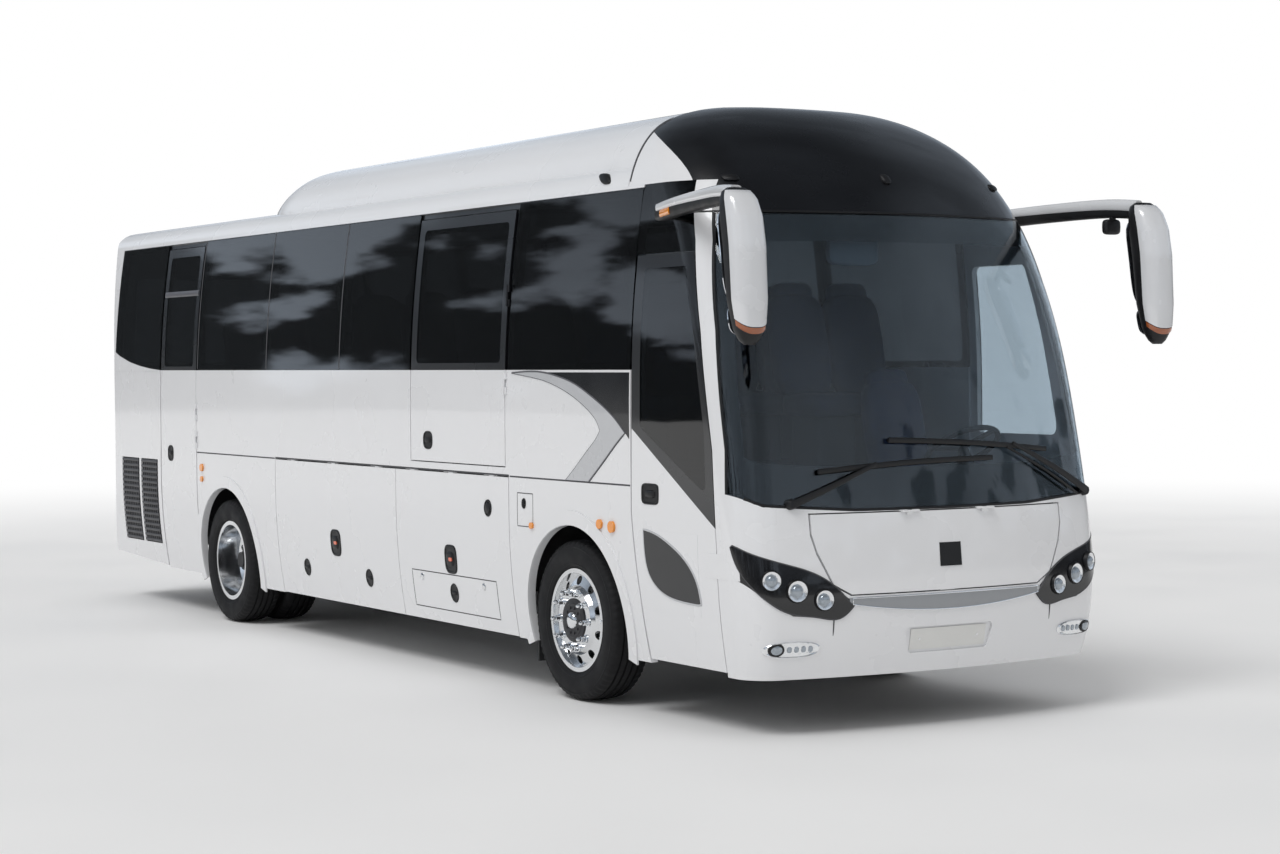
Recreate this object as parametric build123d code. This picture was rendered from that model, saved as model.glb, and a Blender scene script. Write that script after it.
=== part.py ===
from build123d import *
import os
from math import atan2, cos, hypot, sin, sqrt

# A ten metre touring coach. Lengths are millimetres. Stations run rearwards from the front axle,
# the coach faces -Y, its entrance side is -X, and the floor it stands on is Z = 0.

# Overall sizes
HALF_WIDTH = 1250
FRONT_AXLE_Y = -2957
WHEELBASE = 5400
REAR_END = 8130
SKIRT_Z = 310
HATCH_LINE_Z = 1310
SILL_Z = 1962
GLASS_TOP_Z = 2990
ROOF_SEAM_Z = 3010
CROWN_Z = 3230

# Curves of the body section
LOWER_ARC_R = 4500
LOWER_ARC_TOP = 1100
UPPER_ARC_R = 8200
UPPER_ARC_START = 1700
CANT_R = 150
CROWN_R = 6000

# Wall thicknesses and running gaps
WALL = 60
PANEL = 45
GLASS = 14
ROOF_SKIN = 50
SEAT_GAP = 0.3
DOOR_GAP = 7
PANE_GAP = 8
BARREL_GAP = 0.3

# Stations along the side
WALL_FRONT = -735
FRONT_SEAM = -556
HATCH_STATIONS = (715, 2310, 4360)
REAR_PANEL_START = 5950
ENGINE_PANEL_START = 6760
CORNER_START = 7860

# Wheels and axles
TYRE_R = 479
TYRE_WIDTH = 275
WHEEL_OUTER_X = 1210
TWIN_SPACING = 320
KINGPIN_X = 960
SPINDLE_R = 42
REAR_SPINDLE_R = 60
ARCH_R = 575
FRONT_ARCH_S = -45
REAR_ARCH_S = WHEELBASE - 40
STEER_WHEEL_X = WHEEL_OUTER_X - TYRE_WIDTH / 2

# Decks
DECK_Z = 1360
DECK_T = 60
CAB_FLOOR_Z = 820
CAB_FLOOR_T = 40
BAY_FLOOR_Z = 480
BAY_FLOOR_T = 30

# Front sections: height, half width (None where the side section gives it), nose station,
# plan radius of the nose, radius of the corner
FRONT_SECTIONS = (
    (310, None, -1985, 5000, 190),
    (560, None, -2042, 5000, 205),
    (900, None, -2046, 4700, 225),
    (1400, None, -1985, 4300, 260),
    (2000, None, -1876, 3800, 310),
    (2500, None, -1740, 3200, 360),
    (2800, None, -1616, 2750, 400),
    (3030, 1135, -1465, 2400, 440),
    (3230, 1055, -1255, 2100, 460),
    (3390, 900, -1000, 1800, 470),
    (3495, 610, -660, 1500, 440),
)
FRONT_BACK = -100
DOME_DROP_START = 2800
DOME_DROP_END = 3300

# Front edge of the entrance door in side view, and the windscreen pillar ahead of it
DOOR_FRONT = ((-1620, 250), (-1620, 1000), (-1580, 1530), (-1446, 2170), (-1300, 2670), (-1150, 3030))
PILLAR_WIDTH = 92
DOME_Z = 2830

nodes = {}


def half_width(z):
    """Half width of the body at height z: a lower arc, an upright stretch and a leaning upper arc."""
    if z < LOWER_ARC_TOP:
        return HALF_WIDTH - LOWER_ARC_R + sqrt(LOWER_ARC_R**2 - (LOWER_ARC_TOP - z) ** 2)
    if z > UPPER_ARC_START:
        return HALF_WIDTH - UPPER_ARC_R + sqrt(UPPER_ARC_R**2 - (z - UPPER_ARC_START) ** 2)
    return HALF_WIDTH


def side_edges(z0, z1, inset):
    """Edges of the left side from z0 up to z1, moved inwards by inset."""
    breaks = [z for z in (LOWER_ARC_TOP, UPPER_ARC_START) if z0 < z < z1]
    knots = [z0, *breaks, z1]
    edges = []
    for low, high in zip(knots, knots[1:]):
        points = [(half_width(z) - inset, 0, z) for z in (low, (low + high) / 2, high)]
        if low >= LOWER_ARC_TOP and high <= UPPER_ARC_START:
            edges.append(Line(points[0], points[2]))
        else:
            edges.append(ThreePointArc(*points))
    return edges


def wall(z0, z1, s0, s1, inset, thickness):
    """Stretch of the left body side between two heights and two stations."""
    outer = side_edges(z0, z1, inset)
    inner = side_edges(z0, z1, inset + thickness)
    ends = [Line(outer[0] @ 0, inner[0] @ 0), Line(outer[-1] @ 1, inner[-1] @ 1)]
    face = make_face([*outer, *inner, *ends])
    return extrude(Pos(0, s0, 0) * face, s1 - s0, dir=(0, 1, 0))


def flip(shape):
    """The same shape on the other side of the coach."""
    return mirror(shape, about=Plane.YZ)


def outline(points, radius):
    """Closed outline through the points, with its corners rounded where a radius is given."""
    if radius:
        return FilletPolyline(*points, radius=radius, close=True)
    return Polyline(*points, close=True)


def side_prism(points, x0, x1, radius=0):
    """Outline of stations and heights, carried across the coach."""
    face = make_face(Plane.YZ * outline(points, radius))
    return extrude(Pos(x0, 0, 0) * face, x1 - x0, dir=(1, 0, 0))


def front_prism(points, s0, s1, radius=0):
    """Outline of widths and heights, carried along the coach."""
    face = make_face(Plane.XZ * outline(points, radius))
    return extrude(Pos(0, s0, 0) * face, s1 - s0, dir=(0, 1, 0))


def block(x, s, z):
    """Block between pairs of widths, stations and heights."""
    centre = Pos((x[0] + x[1]) / 2, (s[0] + s[1]) / 2, (z[0] + z[1]) / 2)
    return centre * Box(x[1] - x[0], s[1] - s[0], z[1] - z[0])


def rod(start, end, radius):
    """Round bar from one point to another."""
    start = Vector(*start)
    axis = Vector(*end) - start
    return Solid.make_cylinder(radius, axis.length, Plane(origin=start, z_dir=axis))


def reach(points, z):
    """Station of a side view line at height z."""
    for (s0, z0), (s1, z1) in zip(points, points[1:]):
        if z0 <= z <= z1:
            return s0 + (s1 - s0) * (z - z0) / (z1 - z0)
    return points[-1][0]


def keep(name, *shapes):
    """Store the solids of a node."""
    solids = []
    for shape in shapes:
        solids.extend(shape.solids())
    nodes[name] = solids


def barrel_set(point, axis, length, radius):
    """Three coaxial hinge barrels about a point: the two fixed outer ones, and the moving middle one."""
    point = Vector(*point)
    axis = Vector(*axis).normalized()
    half = length / 2
    near = half + BARREL_GAP
    far = near + length
    moving = rod(point - axis * half, point + axis * half, radius)
    fixed = [rod(point + axis * near, point + axis * far, radius)]
    fixed.append(rod(point - axis * near, point - axis * far, radius))
    return fixed, moving


def arc_points(centre, radius, angle):
    """Point of a circle at an angle in radians."""
    return (centre[0] + radius * cos(angle), centre[1] + radius * sin(angle))


# Roof section: the leaning side arc, a cant arc and the crown arc, each tangent to the next
def roof_arcs(inset):
    lean_centre = (HALF_WIDTH - UPPER_ARC_R, UPPER_ARC_START)
    crown_centre = (0, CROWN_Z - CROWN_R)
    lean_reach = UPPER_ARC_R - CANT_R
    crown_reach = CROWN_R - CANT_R
    dx = crown_centre[0] - lean_centre[0]
    dz = crown_centre[1] - lean_centre[1]
    gap = hypot(dx, dz)
    along = (lean_reach**2 - crown_reach**2 + gap**2) / (2 * gap)
    across = sqrt(lean_reach**2 - along**2)
    cant_centre = (
        lean_centre[0] + (along * dx - across * dz) / gap,
        lean_centre[1] + (along * dz + across * dx) / gap,
    )
    lean_angle = atan2(cant_centre[1] - lean_centre[1], cant_centre[0] - lean_centre[0])
    crown_angle = atan2(cant_centre[1] - crown_centre[1], cant_centre[0] - crown_centre[0])
    cant_r = CANT_R - inset
    low = arc_points(cant_centre, cant_r, lean_angle)
    mid = arc_points(cant_centre, cant_r, (lean_angle + crown_angle) / 2)
    high = arc_points(cant_centre, cant_r, crown_angle)
    return low, mid, high


def body_face(z0, inset):
    """Closed cross section of the whole body from height z0 up, moved inwards by inset."""
    low, mid, high = roof_arcs(inset)
    left = side_edges(z0, UPPER_ARC_START, inset) if z0 < UPPER_ARC_START else []
    lean_start = max(z0, UPPER_ARC_START)
    lean_mid = (lean_start + low[1]) / 2
    lean = [(half_width(z) - inset, 0, z) for z in (lean_start, lean_mid)]
    left.append(ThreePointArc(lean[0], lean[1], (low[0], 0, low[1])))
    left.append(ThreePointArc(*[(p[0], 0, p[1]) for p in (low, mid, high)]))
    crown = ThreePointArc((high[0], 0, high[1]), (0, 0, CROWN_Z - inset), (-high[0], 0, high[1]))
    right = [mirror(edge, about=Plane.YZ).edge() for edge in left]
    foot = Line(left[0] @ 0, right[0] @ 0)
    return make_face([*left, crown, *right, foot])


# Front end
def front_face(row, inset):
    """Plan section of the front end: two sides, two corner arcs and the nose arc."""
    z, width, nose, plan_r, corner_r = row
    width = (half_width(z) if width is None else width) - inset
    nose = nose + inset
    plan_r = plan_r - inset
    corner_r = corner_r - inset
    span = width - corner_r
    corner_s = nose + plan_r - sqrt((plan_r - corner_r) ** 2 - span**2)
    nose_centre = (0, nose + plan_r)
    join = atan2(corner_s - nose_centre[1], span)
    tip = arc_points((span, corner_s), corner_r, join)
    bend = arc_points((span, corner_s), corner_r, join / 2)
    drop = inset * min(max((z - DOME_DROP_START) / (DOME_DROP_END - DOME_DROP_START), 0), 1)
    level = z - drop
    left = [
        Line((width, FRONT_BACK, level), (width, corner_s, level)),
        ThreePointArc((width, corner_s, level), (*bend, level), (*tip, level)),
    ]
    right = [mirror(edge, about=Plane.YZ).edge() for edge in left]
    nose_arc = ThreePointArc((*tip, level), (0, nose, level), (-tip[0], tip[1], level))
    back = Line((width, FRONT_BACK, level), (-width, FRONT_BACK, level))
    return Face(Wire([*left, nose_arc, *right, back]))


def front_body(inset):
    """Solid of the front end, moved inwards by inset."""
    return loft([front_face(row, inset) for row in FRONT_SECTIONS])


front_outer = front_body(0)
front_shell = front_outer - front_body(PANEL)
glass_shell = front_outer - front_body(GLASS)

FAR = 2600
door_edge = [(s, z) for s, z in DOOR_FRONT]
pillar_edge = [(s - PILLAR_WIDTH, z) for s, z in DOOR_FRONT]
ahead_of_door = side_prism([(-FAR, 250), *door_edge, (-FAR, 3030)], -FAR, FAR)
ahead_of_pillar = side_prism([(-FAR, 250), *pillar_edge, (-FAR, 3030)], -FAR, FAR)
behind_door_edge = side_prism([(WALL_FRONT, 250), *door_edge, (WALL_FRONT, 3030)], -FAR, FAR)
below_seam = block((-FAR, FAR), (-FAR, FAR), (0, ROOF_SEAM_Z))

# Dome over the windscreen, down to the roof seam at the sides
dome_outline = [
    (-FAR, DOME_Z),
    (reach(pillar_edge, DOME_Z), DOME_Z),
    (reach(pillar_edge, ROOF_SEAM_Z), ROOF_SEAM_Z),
    (FRONT_SEAM, ROOF_SEAM_Z),
    (FRONT_SEAM, 3700),
    (-FAR, 3700),
]
dome_space = side_prism(dome_outline, -FAR, FAR)
keep("front_dome", front_shell & dome_space)

# Everything ahead of the door edge and below the dome is shared out in turn
nose_panels = (front_shell & ahead_of_door & below_seam) - dome_space

WINDSCREEN = ((-1300, 1330), (-1120, 1235), (-600, 1200), (600, 1200), (1120, 1235), (1300, 1330),
              (1300, DOME_Z), (-1300, DOME_Z))
screen_space = front_prism(WINDSCREEN, -FAR, -900) & ahead_of_pillar
keep("windscreen", (glass_shell & screen_space) - dome_space)
nose_panels = nose_panels - screen_space

LAMP = ((622, 704), (712, 778), (1050, 868), (1300, 985), (1300, 915), (1130, 742), (985, 655), (715, 632))
lamp_space = front_prism(LAMP, -FAR, -1500)
lamp_space = lamp_space + flip(lamp_space)
lamp_blocks = nose_panels & lamp_space
nose_panels = nose_panels - lamp_space

# Three round lamps in each housing: width, height, radius
LAMP_BOWLS = ((1075, 800, 46), (930, 752, 52), (775, 712, 48))
BOWL_DEPTH = 30
bowl_layer = front_outer - front_body(BOWL_DEPTH)
for x, z, radius in LAMP_BOWLS:
    for side in (-1, 1):
        pocket = rod((side * x, -FAR, z), (side * x, -1500, z), radius)
        lamp_blocks = lamp_blocks - (pocket & bowl_layer)

FLAP_TOP_Z = 1188
FLAP_HALF = 860
FLAP_SIDE = ((FLAP_HALF, FLAP_TOP_Z), (FLAP_HALF, 1085), (832, 985), (748, 815), (640, 757))
FLAP = (*FLAP_SIDE, *[(-x, z) for x, z in reversed(FLAP_SIDE)])
FLAP_SIDE_GAP = 11
FLAP_CUT = [(x * (1 + FLAP_SIDE_GAP / FLAP_HALF), z + DOOR_GAP * (1 if z == FLAP_TOP_Z else -1)) for x, z in FLAP]
flap = nose_panels & front_prism(FLAP, -FAR, -1500)
nose_panels = nose_panels - front_prism(FLAP_CUT, -FAR, -1500)

TRIM = ((-700, 640), (700, 640), (700, 757 - DOOR_GAP), (-700, 757 - DOOR_GAP))
trim_space = front_prism(TRIM, -FAR, -1500)
keep("front_trim", nose_panels & trim_space)
nose_panels = nose_panels - trim_space

BUMPER_SEAM_X = 750
BUMPER_TOP_Z = 640
CORNER_TOP_Z = 900
bumper_space = block((-BUMPER_SEAM_X, BUMPER_SEAM_X), (-FAR, -1500), (250, BUMPER_TOP_Z))
bumper = nose_panels & bumper_space
PLATE = ((-309, 561), (309, 561), (271, 419), (-271, 419))
PLATE_DEPTH = 14
plate_cut = front_prism(PLATE, -FAR, -1500, 25) & (front_outer - front_body(PLATE_DEPTH))
bumper = bumper - plate_cut
nose_panels = nose_panels - bumper_space
corner_space = block((-FAR, FAR), (-FAR, -1000), (250, BUMPER_TOP_Z + 90))
corners = nose_panels & corner_space
nose_panels = nose_panels - corner_space

FOG = ((875, 452), (1085, 452), (1085, 512), (875, 512))
fog_space = front_prism(FOG, -FAR, -1500, 28)
fog_space = fog_space + flip(fog_space)
fogs = corners & fog_space
corners = corners - fog_space
keep("front_bumper", bumper, corners)
keep("front_lamps", lamp_blocks, fogs)

# Hinge of the front flap, on the cowl strip under the windscreen
FLAP_AXIS = (-2024, FLAP_TOP_Z + DOOR_GAP / 2)
HINGE_X = 260
FRONT_BARREL = 40
FRONT_BARREL_R = 6
LUG_HEIGHT = 8
LUG_ROOT = -1990
cowl_lugs = []
for side in (-1, 1):
    spot = (side * HINGE_X, *FLAP_AXIS)
    fixed, moving = barrel_set(spot, (1, 0, 0), FRONT_BARREL, FRONT_BARREL_R)
    half = FRONT_BARREL / 2
    for lug in fixed:
        x = lug.center().X
        tab = block((x - half, x + half), (FLAP_AXIS[0], LUG_ROOT), (FLAP_AXIS[1], FLAP_AXIS[1] + LUG_HEIGHT))
        cowl_lugs.append(lug + tab)
    tab = block((spot[0] - half, spot[0] + half), (FLAP_AXIS[0], LUG_ROOT), (FLAP_AXIS[1] - 20, FLAP_AXIS[1] - 1))
    flap = flap + moving + tab
keep("front_flap", flap)
for lug in cowl_lugs:
    nose_panels = nose_panels + lug

# Left cab side with the driver's window
cab_side = (front_shell & behind_door_edge & below_seam & block((0, FAR), (-FAR, FAR), (0, FAR * 2))) - dome_space
DRIVER_WINDOW = ((-800, 1560), (-800, 2570), (-1290, 2570), (-1400, 2170), (-1520, 1640), (-1520, 1560))
driver_space = side_prism(DRIVER_WINDOW, 0, FAR, 45)
driver_glass = glass_shell & driver_space
keep("cab_sides", nose_panels, cab_side - driver_space)

# Entrance door: the leaf, its glass and its lower pane
DOOR_TOP_Z = 2605
DOOR_FOOT_Z = 335
door_front = [(s + DOOR_GAP, z) for s, z in DOOR_FRONT if DOOR_FOOT_Z < z < DOOR_TOP_Z]
DOOR_REAR = ((WALL_FRONT - 13, DOOR_TOP_Z), (WALL_FRONT - 13, 1150), (-810, 700), (-845, DOOR_FOOT_Z))
door_outline = [
    (DOOR_FRONT[0][0] + DOOR_GAP, DOOR_FOOT_Z),
    *door_front,
    (reach(DOOR_FRONT, DOOR_TOP_Z) + DOOR_GAP, DOOR_TOP_Z),
    *DOOR_REAR,
]
leaf = front_shell & side_prism(door_outline, -FAR, 0)
LEAF_WINDOW = ((-835, 2530), (-1270, 2530), (-1385, 2150), (-1495, 1640), (-1515, 1290), (-835, 1640))
LEAF_PORT = ((-890, 1050), (-1130, 1000), (-1410, 790), (-1410, 680), (-1290, 650), (-900, 720))
leaf_glass = []
for pane, radius in ((LEAF_WINDOW, 30), (LEAF_PORT, 35)):
    space = side_prism(pane, -FAR, 0, radius)
    leaf = leaf - space
    leaf_glass.append(glass_shell & space)
keep("entrance_door_glass", *leaf_glass)

# Fixed quarter light above the entrance door
header_space = behind_door_edge & block((-FAR, 0), (-FAR, FAR), (DOOR_TOP_Z + DOOR_GAP, ROOF_SEAM_Z))
quarter_light = (glass_shell & header_space) - dome_space

# Swing arm of the entrance door: a turning post with two bars that carry the leaf
POST_X = -1118
POST_S = -1500
ARM_REACH = 480
LEAF_PIN_X = -1160
POST_R = 20
BAR_HALF = 15
BAR_LEVELS = (760, 1450)
STEP_Z = 380
BOSS_R = 22
BOSS_HALF = 20
arm = rod((POST_X, POST_S, STEP_Z + SEAT_GAP), (POST_X, POST_S, 1620), POST_R)
for level in BAR_LEVELS:
    pin = (LEAF_PIN_X, POST_S + ARM_REACH)
    arm = arm + rod((POST_X, POST_S, level), (*pin, level), BAR_HALF)
    arm = arm + rod((*pin, level - BOSS_HALF), (*pin, level + BOSS_HALF), BOSS_R)
    lug_low = level + BOSS_HALF + SEAT_GAP
    lug = rod((*pin, lug_low), (*pin, lug_low + 30), BOSS_R)
    strap = block((-half_width(level) + PANEL - 8, LEAF_PIN_X), (pin[1] - 18, pin[1] + 18), (lug_low, lug_low + 30))
    leaf = leaf + lug + strap
keep("entrance_door", leaf)
keep("door_arm", arm)

# Side walls above the luggage line, with the glass band let in
RAIL = 40
PILLAR = 55
EMERGENCY = (754, 2080, 1368, 2950)
REAR_DOOR = (REAR_PANEL_START, ENGINE_PANEL_START - 5, 335, 2950)
RIGHT_PANES = ((WALL_FRONT, 722), (2090, 3220), (3220, 4530), (4530, 5940), (6765, CORNER_START))
LEFT_PANES = ((WALL_FRONT, 750), (750, 2085), (2085, 3220), (3220, 4530), (4530, 5930), (5930, 6760),
              (6760, CORNER_START))


def window(start, end):
    """Window opening behind a pane."""
    low, high = SILL_Z + RAIL, GLASS_TOP_Z - RAIL
    points = ((start + PILLAR, low), (end - PILLAR, low), (end - PILLAR, high), (start + PILLAR, high))
    return side_prism(points, 0, FAR, 40)


def side_wall(panes):
    """Left side wall with its glass rebate and window openings."""
    body = wall(HATCH_LINE_Z + 9, ROOF_SEAM_Z, WALL_FRONT, CORNER_START, 0, WALL)
    body = body - wall(SILL_Z, GLASS_TOP_Z, WALL_FRONT - 1, CORNER_START + 1, -20, GLASS + 20)
    for start, end in panes:
        body = body - window(start, end)
    return body


def pane_set(panes):
    """Glass panes of the left side."""
    solids = []
    for start, end in panes:
        low, high = SILL_Z + 3, GLASS_TOP_Z - 3
        solids.append(wall(low, high, start + PANE_GAP / 2, end - PANE_GAP / 2, 0, GLASS - SEAT_GAP))
    return solids


def hatch_barrels(s0, s1):
    """Barrels of a top hinge along the luggage line: fixed ones with tabs up, moving ones with tabs down."""
    x = HALF_WIDTH - 5
    fixed_set, moving_set = [], []
    for share in (0.15, 0.5, 0.85):
        s = s0 + (s1 - s0) * share
        fixed, moving = barrel_set((x, s, HATCH_LINE_Z), (0, 1, 0), 60, 5)
        for lug in fixed:
            y = lug.center().Y
            fixed_set.append(lug + block((x - 8, x), (y - 30, y + 30), (HATCH_LINE_Z, HATCH_LINE_Z + 16)))
        moving_set.append(moving + block((x - 8, x), (s - 30, s + 30), (HATCH_LINE_Z - 16, HATCH_LINE_Z)))
    return fixed_set, moving_set


def hatch(s0, s1):
    """Luggage door on the left side, and the fixed half of its hinge."""
    door = wall(SKIRT_Z + 6, HATCH_LINE_Z - 9, s0 + DOOR_GAP / 2, s1 - DOOR_GAP / 2, 0, PANEL)
    fixed, moving = hatch_barrels(s0, s1)
    for lug in moving:
        door = door + lug
    return door, fixed


left_wall = side_wall(LEFT_PANES)
right_wall = side_wall(RIGHT_PANES)
for name, s0, s1 in (("front", *HATCH_STATIONS[:2]), ("rear", *HATCH_STATIONS[1:])):
    door, lugs = hatch(s0, s1)
    keep(f"luggage_door_left_{name}", door)
    keep(f"luggage_door_right_{name}", flip(door))
    for lug in lugs:
        left_wall = left_wall + lug
        right_wall = right_wall + lug

# Lower panels: arch panels, the engine side panel, and on the left the panel behind the rear arch
ARCH_FRONT_EDGE = ((-832, SKIRT_Z), (-797, 700), (WALL_FRONT, 1150), (WALL_FRONT, HATCH_LINE_Z + 9))
PANEL_TOP_Z = HATCH_LINE_Z + 9
tail_rise = side_prism(((6000, 0), (REAR_END, 0), (REAR_END, 415), (7860, 400), (6570, 340), (6000, SKIRT_Z)), 0, FAR)


def arch_cut(s):
    """Round wheel arch opening."""
    return rod((0, s, TYRE_R - 8), (FAR, s, TYRE_R - 8), ARCH_R)


front_arch = wall(SKIRT_Z, PANEL_TOP_Z, -840, HATCH_STATIONS[0] - 4, 0, PANEL) - arch_cut(FRONT_ARCH_S)
right_front_arch = front_arch & side_prism([(FAR, SKIRT_Z), *ARCH_FRONT_EDGE, (FAR, PANEL_TOP_Z)], 0, FAR)
left_front_arch = front_arch & block((0, FAR), (WALL_FRONT, FAR), (0, FAR))
rear_arch = wall(SKIRT_Z, PANEL_TOP_Z, HATCH_STATIONS[2] + 4, REAR_PANEL_START - 8, 0, PANEL) - arch_cut(REAR_ARCH_S)
GRILLE = ((6830, 7230), (7270, 7690))
GRILLE_Z = (525, 1225)
grille_cuts = [block((0, FAR), row, GRILLE_Z) for row in GRILLE]
engine_panel = wall(SKIRT_Z, PANEL_TOP_Z, ENGINE_PANEL_START, CORNER_START, 0, PANEL) - tail_rise
left_tail = wall(SKIRT_Z, PANEL_TOP_Z, REAR_PANEL_START - 8, CORNER_START, 0, PANEL) - tail_rise
for cut in grille_cuts:
    engine_panel = engine_panel - cut
    left_tail = left_tail - cut

# Grille slats, a row of upright bars in each opening, joined by two rails behind them
SLAT_STEP = 44
SLAT = 18
grille_bars = []
for start, end in GRILLE:
    rails = [wall(z, z + 30, start, end, 28, 12) for z in (GRILLE_Z[0] + 60, GRILLE_Z[1] - 90)]
    bars = rails[0] + rails[1]
    count = round((end - start) / SLAT_STEP)
    for index in range(count):
        s = start + (index + 0.5) * (end - start) / count
        bars = bars + wall(*GRILLE_Z, s - SLAT / 2, s + SLAT / 2, 6, 26)
    grille_bars.append(bars)
keep("side_grilles", *grille_bars, *[flip(bars) for bars in grille_bars])
keep("lower_panels_left", left_front_arch, rear_arch, left_tail)
keep("lower_panels_right", flip(right_front_arch), flip(rear_arch), flip(engine_panel))

# Doors in the right wall, modelled on the left and turned over
REBATE = 22
SKIN = 15


def swing_door(door, rear_gap):
    """Door between two stations and heights: an outer skin and a smaller inner frame behind it."""
    s0, s1, z0, z1 = door
    skin = wall(z0, z1, s0 + DOOR_GAP, s1 - rear_gap, 0, SKIN)
    frame = wall(z0 + REBATE, z1 - REBATE, s0 + DOOR_GAP, s1 - rear_gap - REBATE, SKIN, PANEL - SKIN)
    return skin + frame


def door_hole(door):
    """Opening in the wall for a swing door."""
    s0, s1, z0, z1 = door
    return block((0, FAR), (s0, s1), (z0 - DOOR_GAP, z1 + DOOR_GAP))


def door_window(door, low, rear_gap):
    """Window opening of a swing door, from height low to the top of the glass band."""
    s0, s1, _, z1 = door
    points = ((s0 + 75, low), (s1 - rear_gap - 75, low), (s1 - rear_gap - 75, z1 - 70), (s0 + 75, z1 - 70))
    return side_prism(points, 0, FAR, 35)


LEAN_Z = 2150
LEAN_SLOPE = (LEAN_Z - UPPER_ARC_START) / sqrt(UPPER_ARC_R**2 - (LEAN_Z - UPPER_ARC_START) ** 2)
LEAN_X = half_width(LEAN_Z) + 6
EMERGENCY_GAP = 9
REAR_DOOR_GAP = 16
UPRIGHT_X = HALF_WIDTH + 10
HINGE_R = 8
HINGE_LENGTH = 45
TAB = 26

emergency = swing_door(EMERGENCY, EMERGENCY_GAP)
rear_door = swing_door(REAR_DOOR, REAR_DOOR_GAP)
emergency_space = door_window(EMERGENCY, SILL_Z + 45, EMERGENCY_GAP)
rear_space = door_window(REAR_DOOR, SILL_Z + 30, REAR_DOOR_GAP)
DOOR_HINGES = (
    ("emergency_door", emergency, EMERGENCY[0], (1880, 2420), True),
    ("rear_door", rear_door, REAR_DOOR[0], (1410, 1630), False),
)
right_left_wall = right_wall - door_hole(EMERGENCY) - door_hole(REAR_DOOR)
hinged = {}
for name, door, s, levels, leaning in DOOR_HINGES:
    for z in levels:
        slope = LEAN_SLOPE if leaning else 0
        x = LEAN_X - (z - LEAN_Z) * LEAN_SLOPE if leaning else UPRIGHT_X
        fixed, moving = barrel_set((x, s, z), (-slope, 0, 1), HINGE_LENGTH, HINGE_R)
        half = HINGE_LENGTH / 2
        for lug in fixed:
            high = lug.center().Z
            root_x = half_width(high)
            tab = block((root_x - TAB, x), (s - TAB, s), (high - half + 1, high + half - 1))
            right_left_wall = right_left_wall + lug + tab
        tab = block((half_width(z) - SKIN + 2, x), (s + 1, s + TAB), (z - half + 1, z + half - 1))
        door = door + moving + tab
    hinged[name] = door
emergency = hinged["emergency_door"] - emergency_space
rear_door = hinged["rear_door"] - rear_space
pane_skin = wall(SILL_Z, GLASS_TOP_Z, WALL_FRONT, CORNER_START, 0, SKIN)
keep("emergency_door", flip(emergency))
keep("rear_door", flip(rear_door))
keep("emergency_door_glass", flip(pane_skin & emergency_space))
keep("rear_door_glass", flip(pane_skin & rear_space))
keep("side_wall_right", flip(right_left_wall))
keep("side_wall_left", left_wall)
keep("side_glass_right", *[flip(pane) for pane in pane_set(RIGHT_PANES)], quarter_light)
keep("side_glass_left", *pane_set(LEFT_PANES), driver_glass)

# Roof skin and the air conditioning fairing on it
roof_outer = body_face(ROOF_SEAM_Z, 0)
roof_inner = body_face(ROOF_SEAM_Z - 5, ROOF_SKIN)
roof = extrude(Pos(0, FRONT_SEAM, 0) * roof_outer, CORNER_START - FRONT_SEAM, dir=(0, 1, 0))
roof_space = extrude(Pos(0, FRONT_SEAM - 5, 0) * roof_inner, CORNER_START - FRONT_SEAM + 10, dir=(0, 1, 0))
keep("roof", roof - roof_space)

FAIRING_END = 5106
FAIRING_TOP_Z = 3490
FAIRING = ((-1072, 3085), (-1040, 3230), (-885, 3390), (-560, FAIRING_TOP_Z),
           (560, FAIRING_TOP_Z), (885, 3390), (1040, 3230), (1072, 3085))
FAIRING_TAIL = ((FRONT_SEAM, 3000), (FAIRING_END, 3000), (FAIRING_END, 3215), (4900, 3400), (4560, FAIRING_TOP_Z + 1),
                (FRONT_SEAM, FAIRING_TOP_Z + 1))
fairing = front_prism(FAIRING, FRONT_SEAM, FAIRING_END) & side_prism(FAIRING_TAIL, -FAR, FAR)
roof_seat = extrude(Pos(0, FRONT_SEAM - 5, 0) * body_face(ROOF_SEAM_Z - 5, -SEAT_GAP), 6000, dir=(0, 1, 0))
keep("ac_fairing", fairing - roof_seat)

# Rear end: the body section rounded in plan and in side view
REAR_CORNER_R = 265
REAR_FOOT_Z = 400


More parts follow.
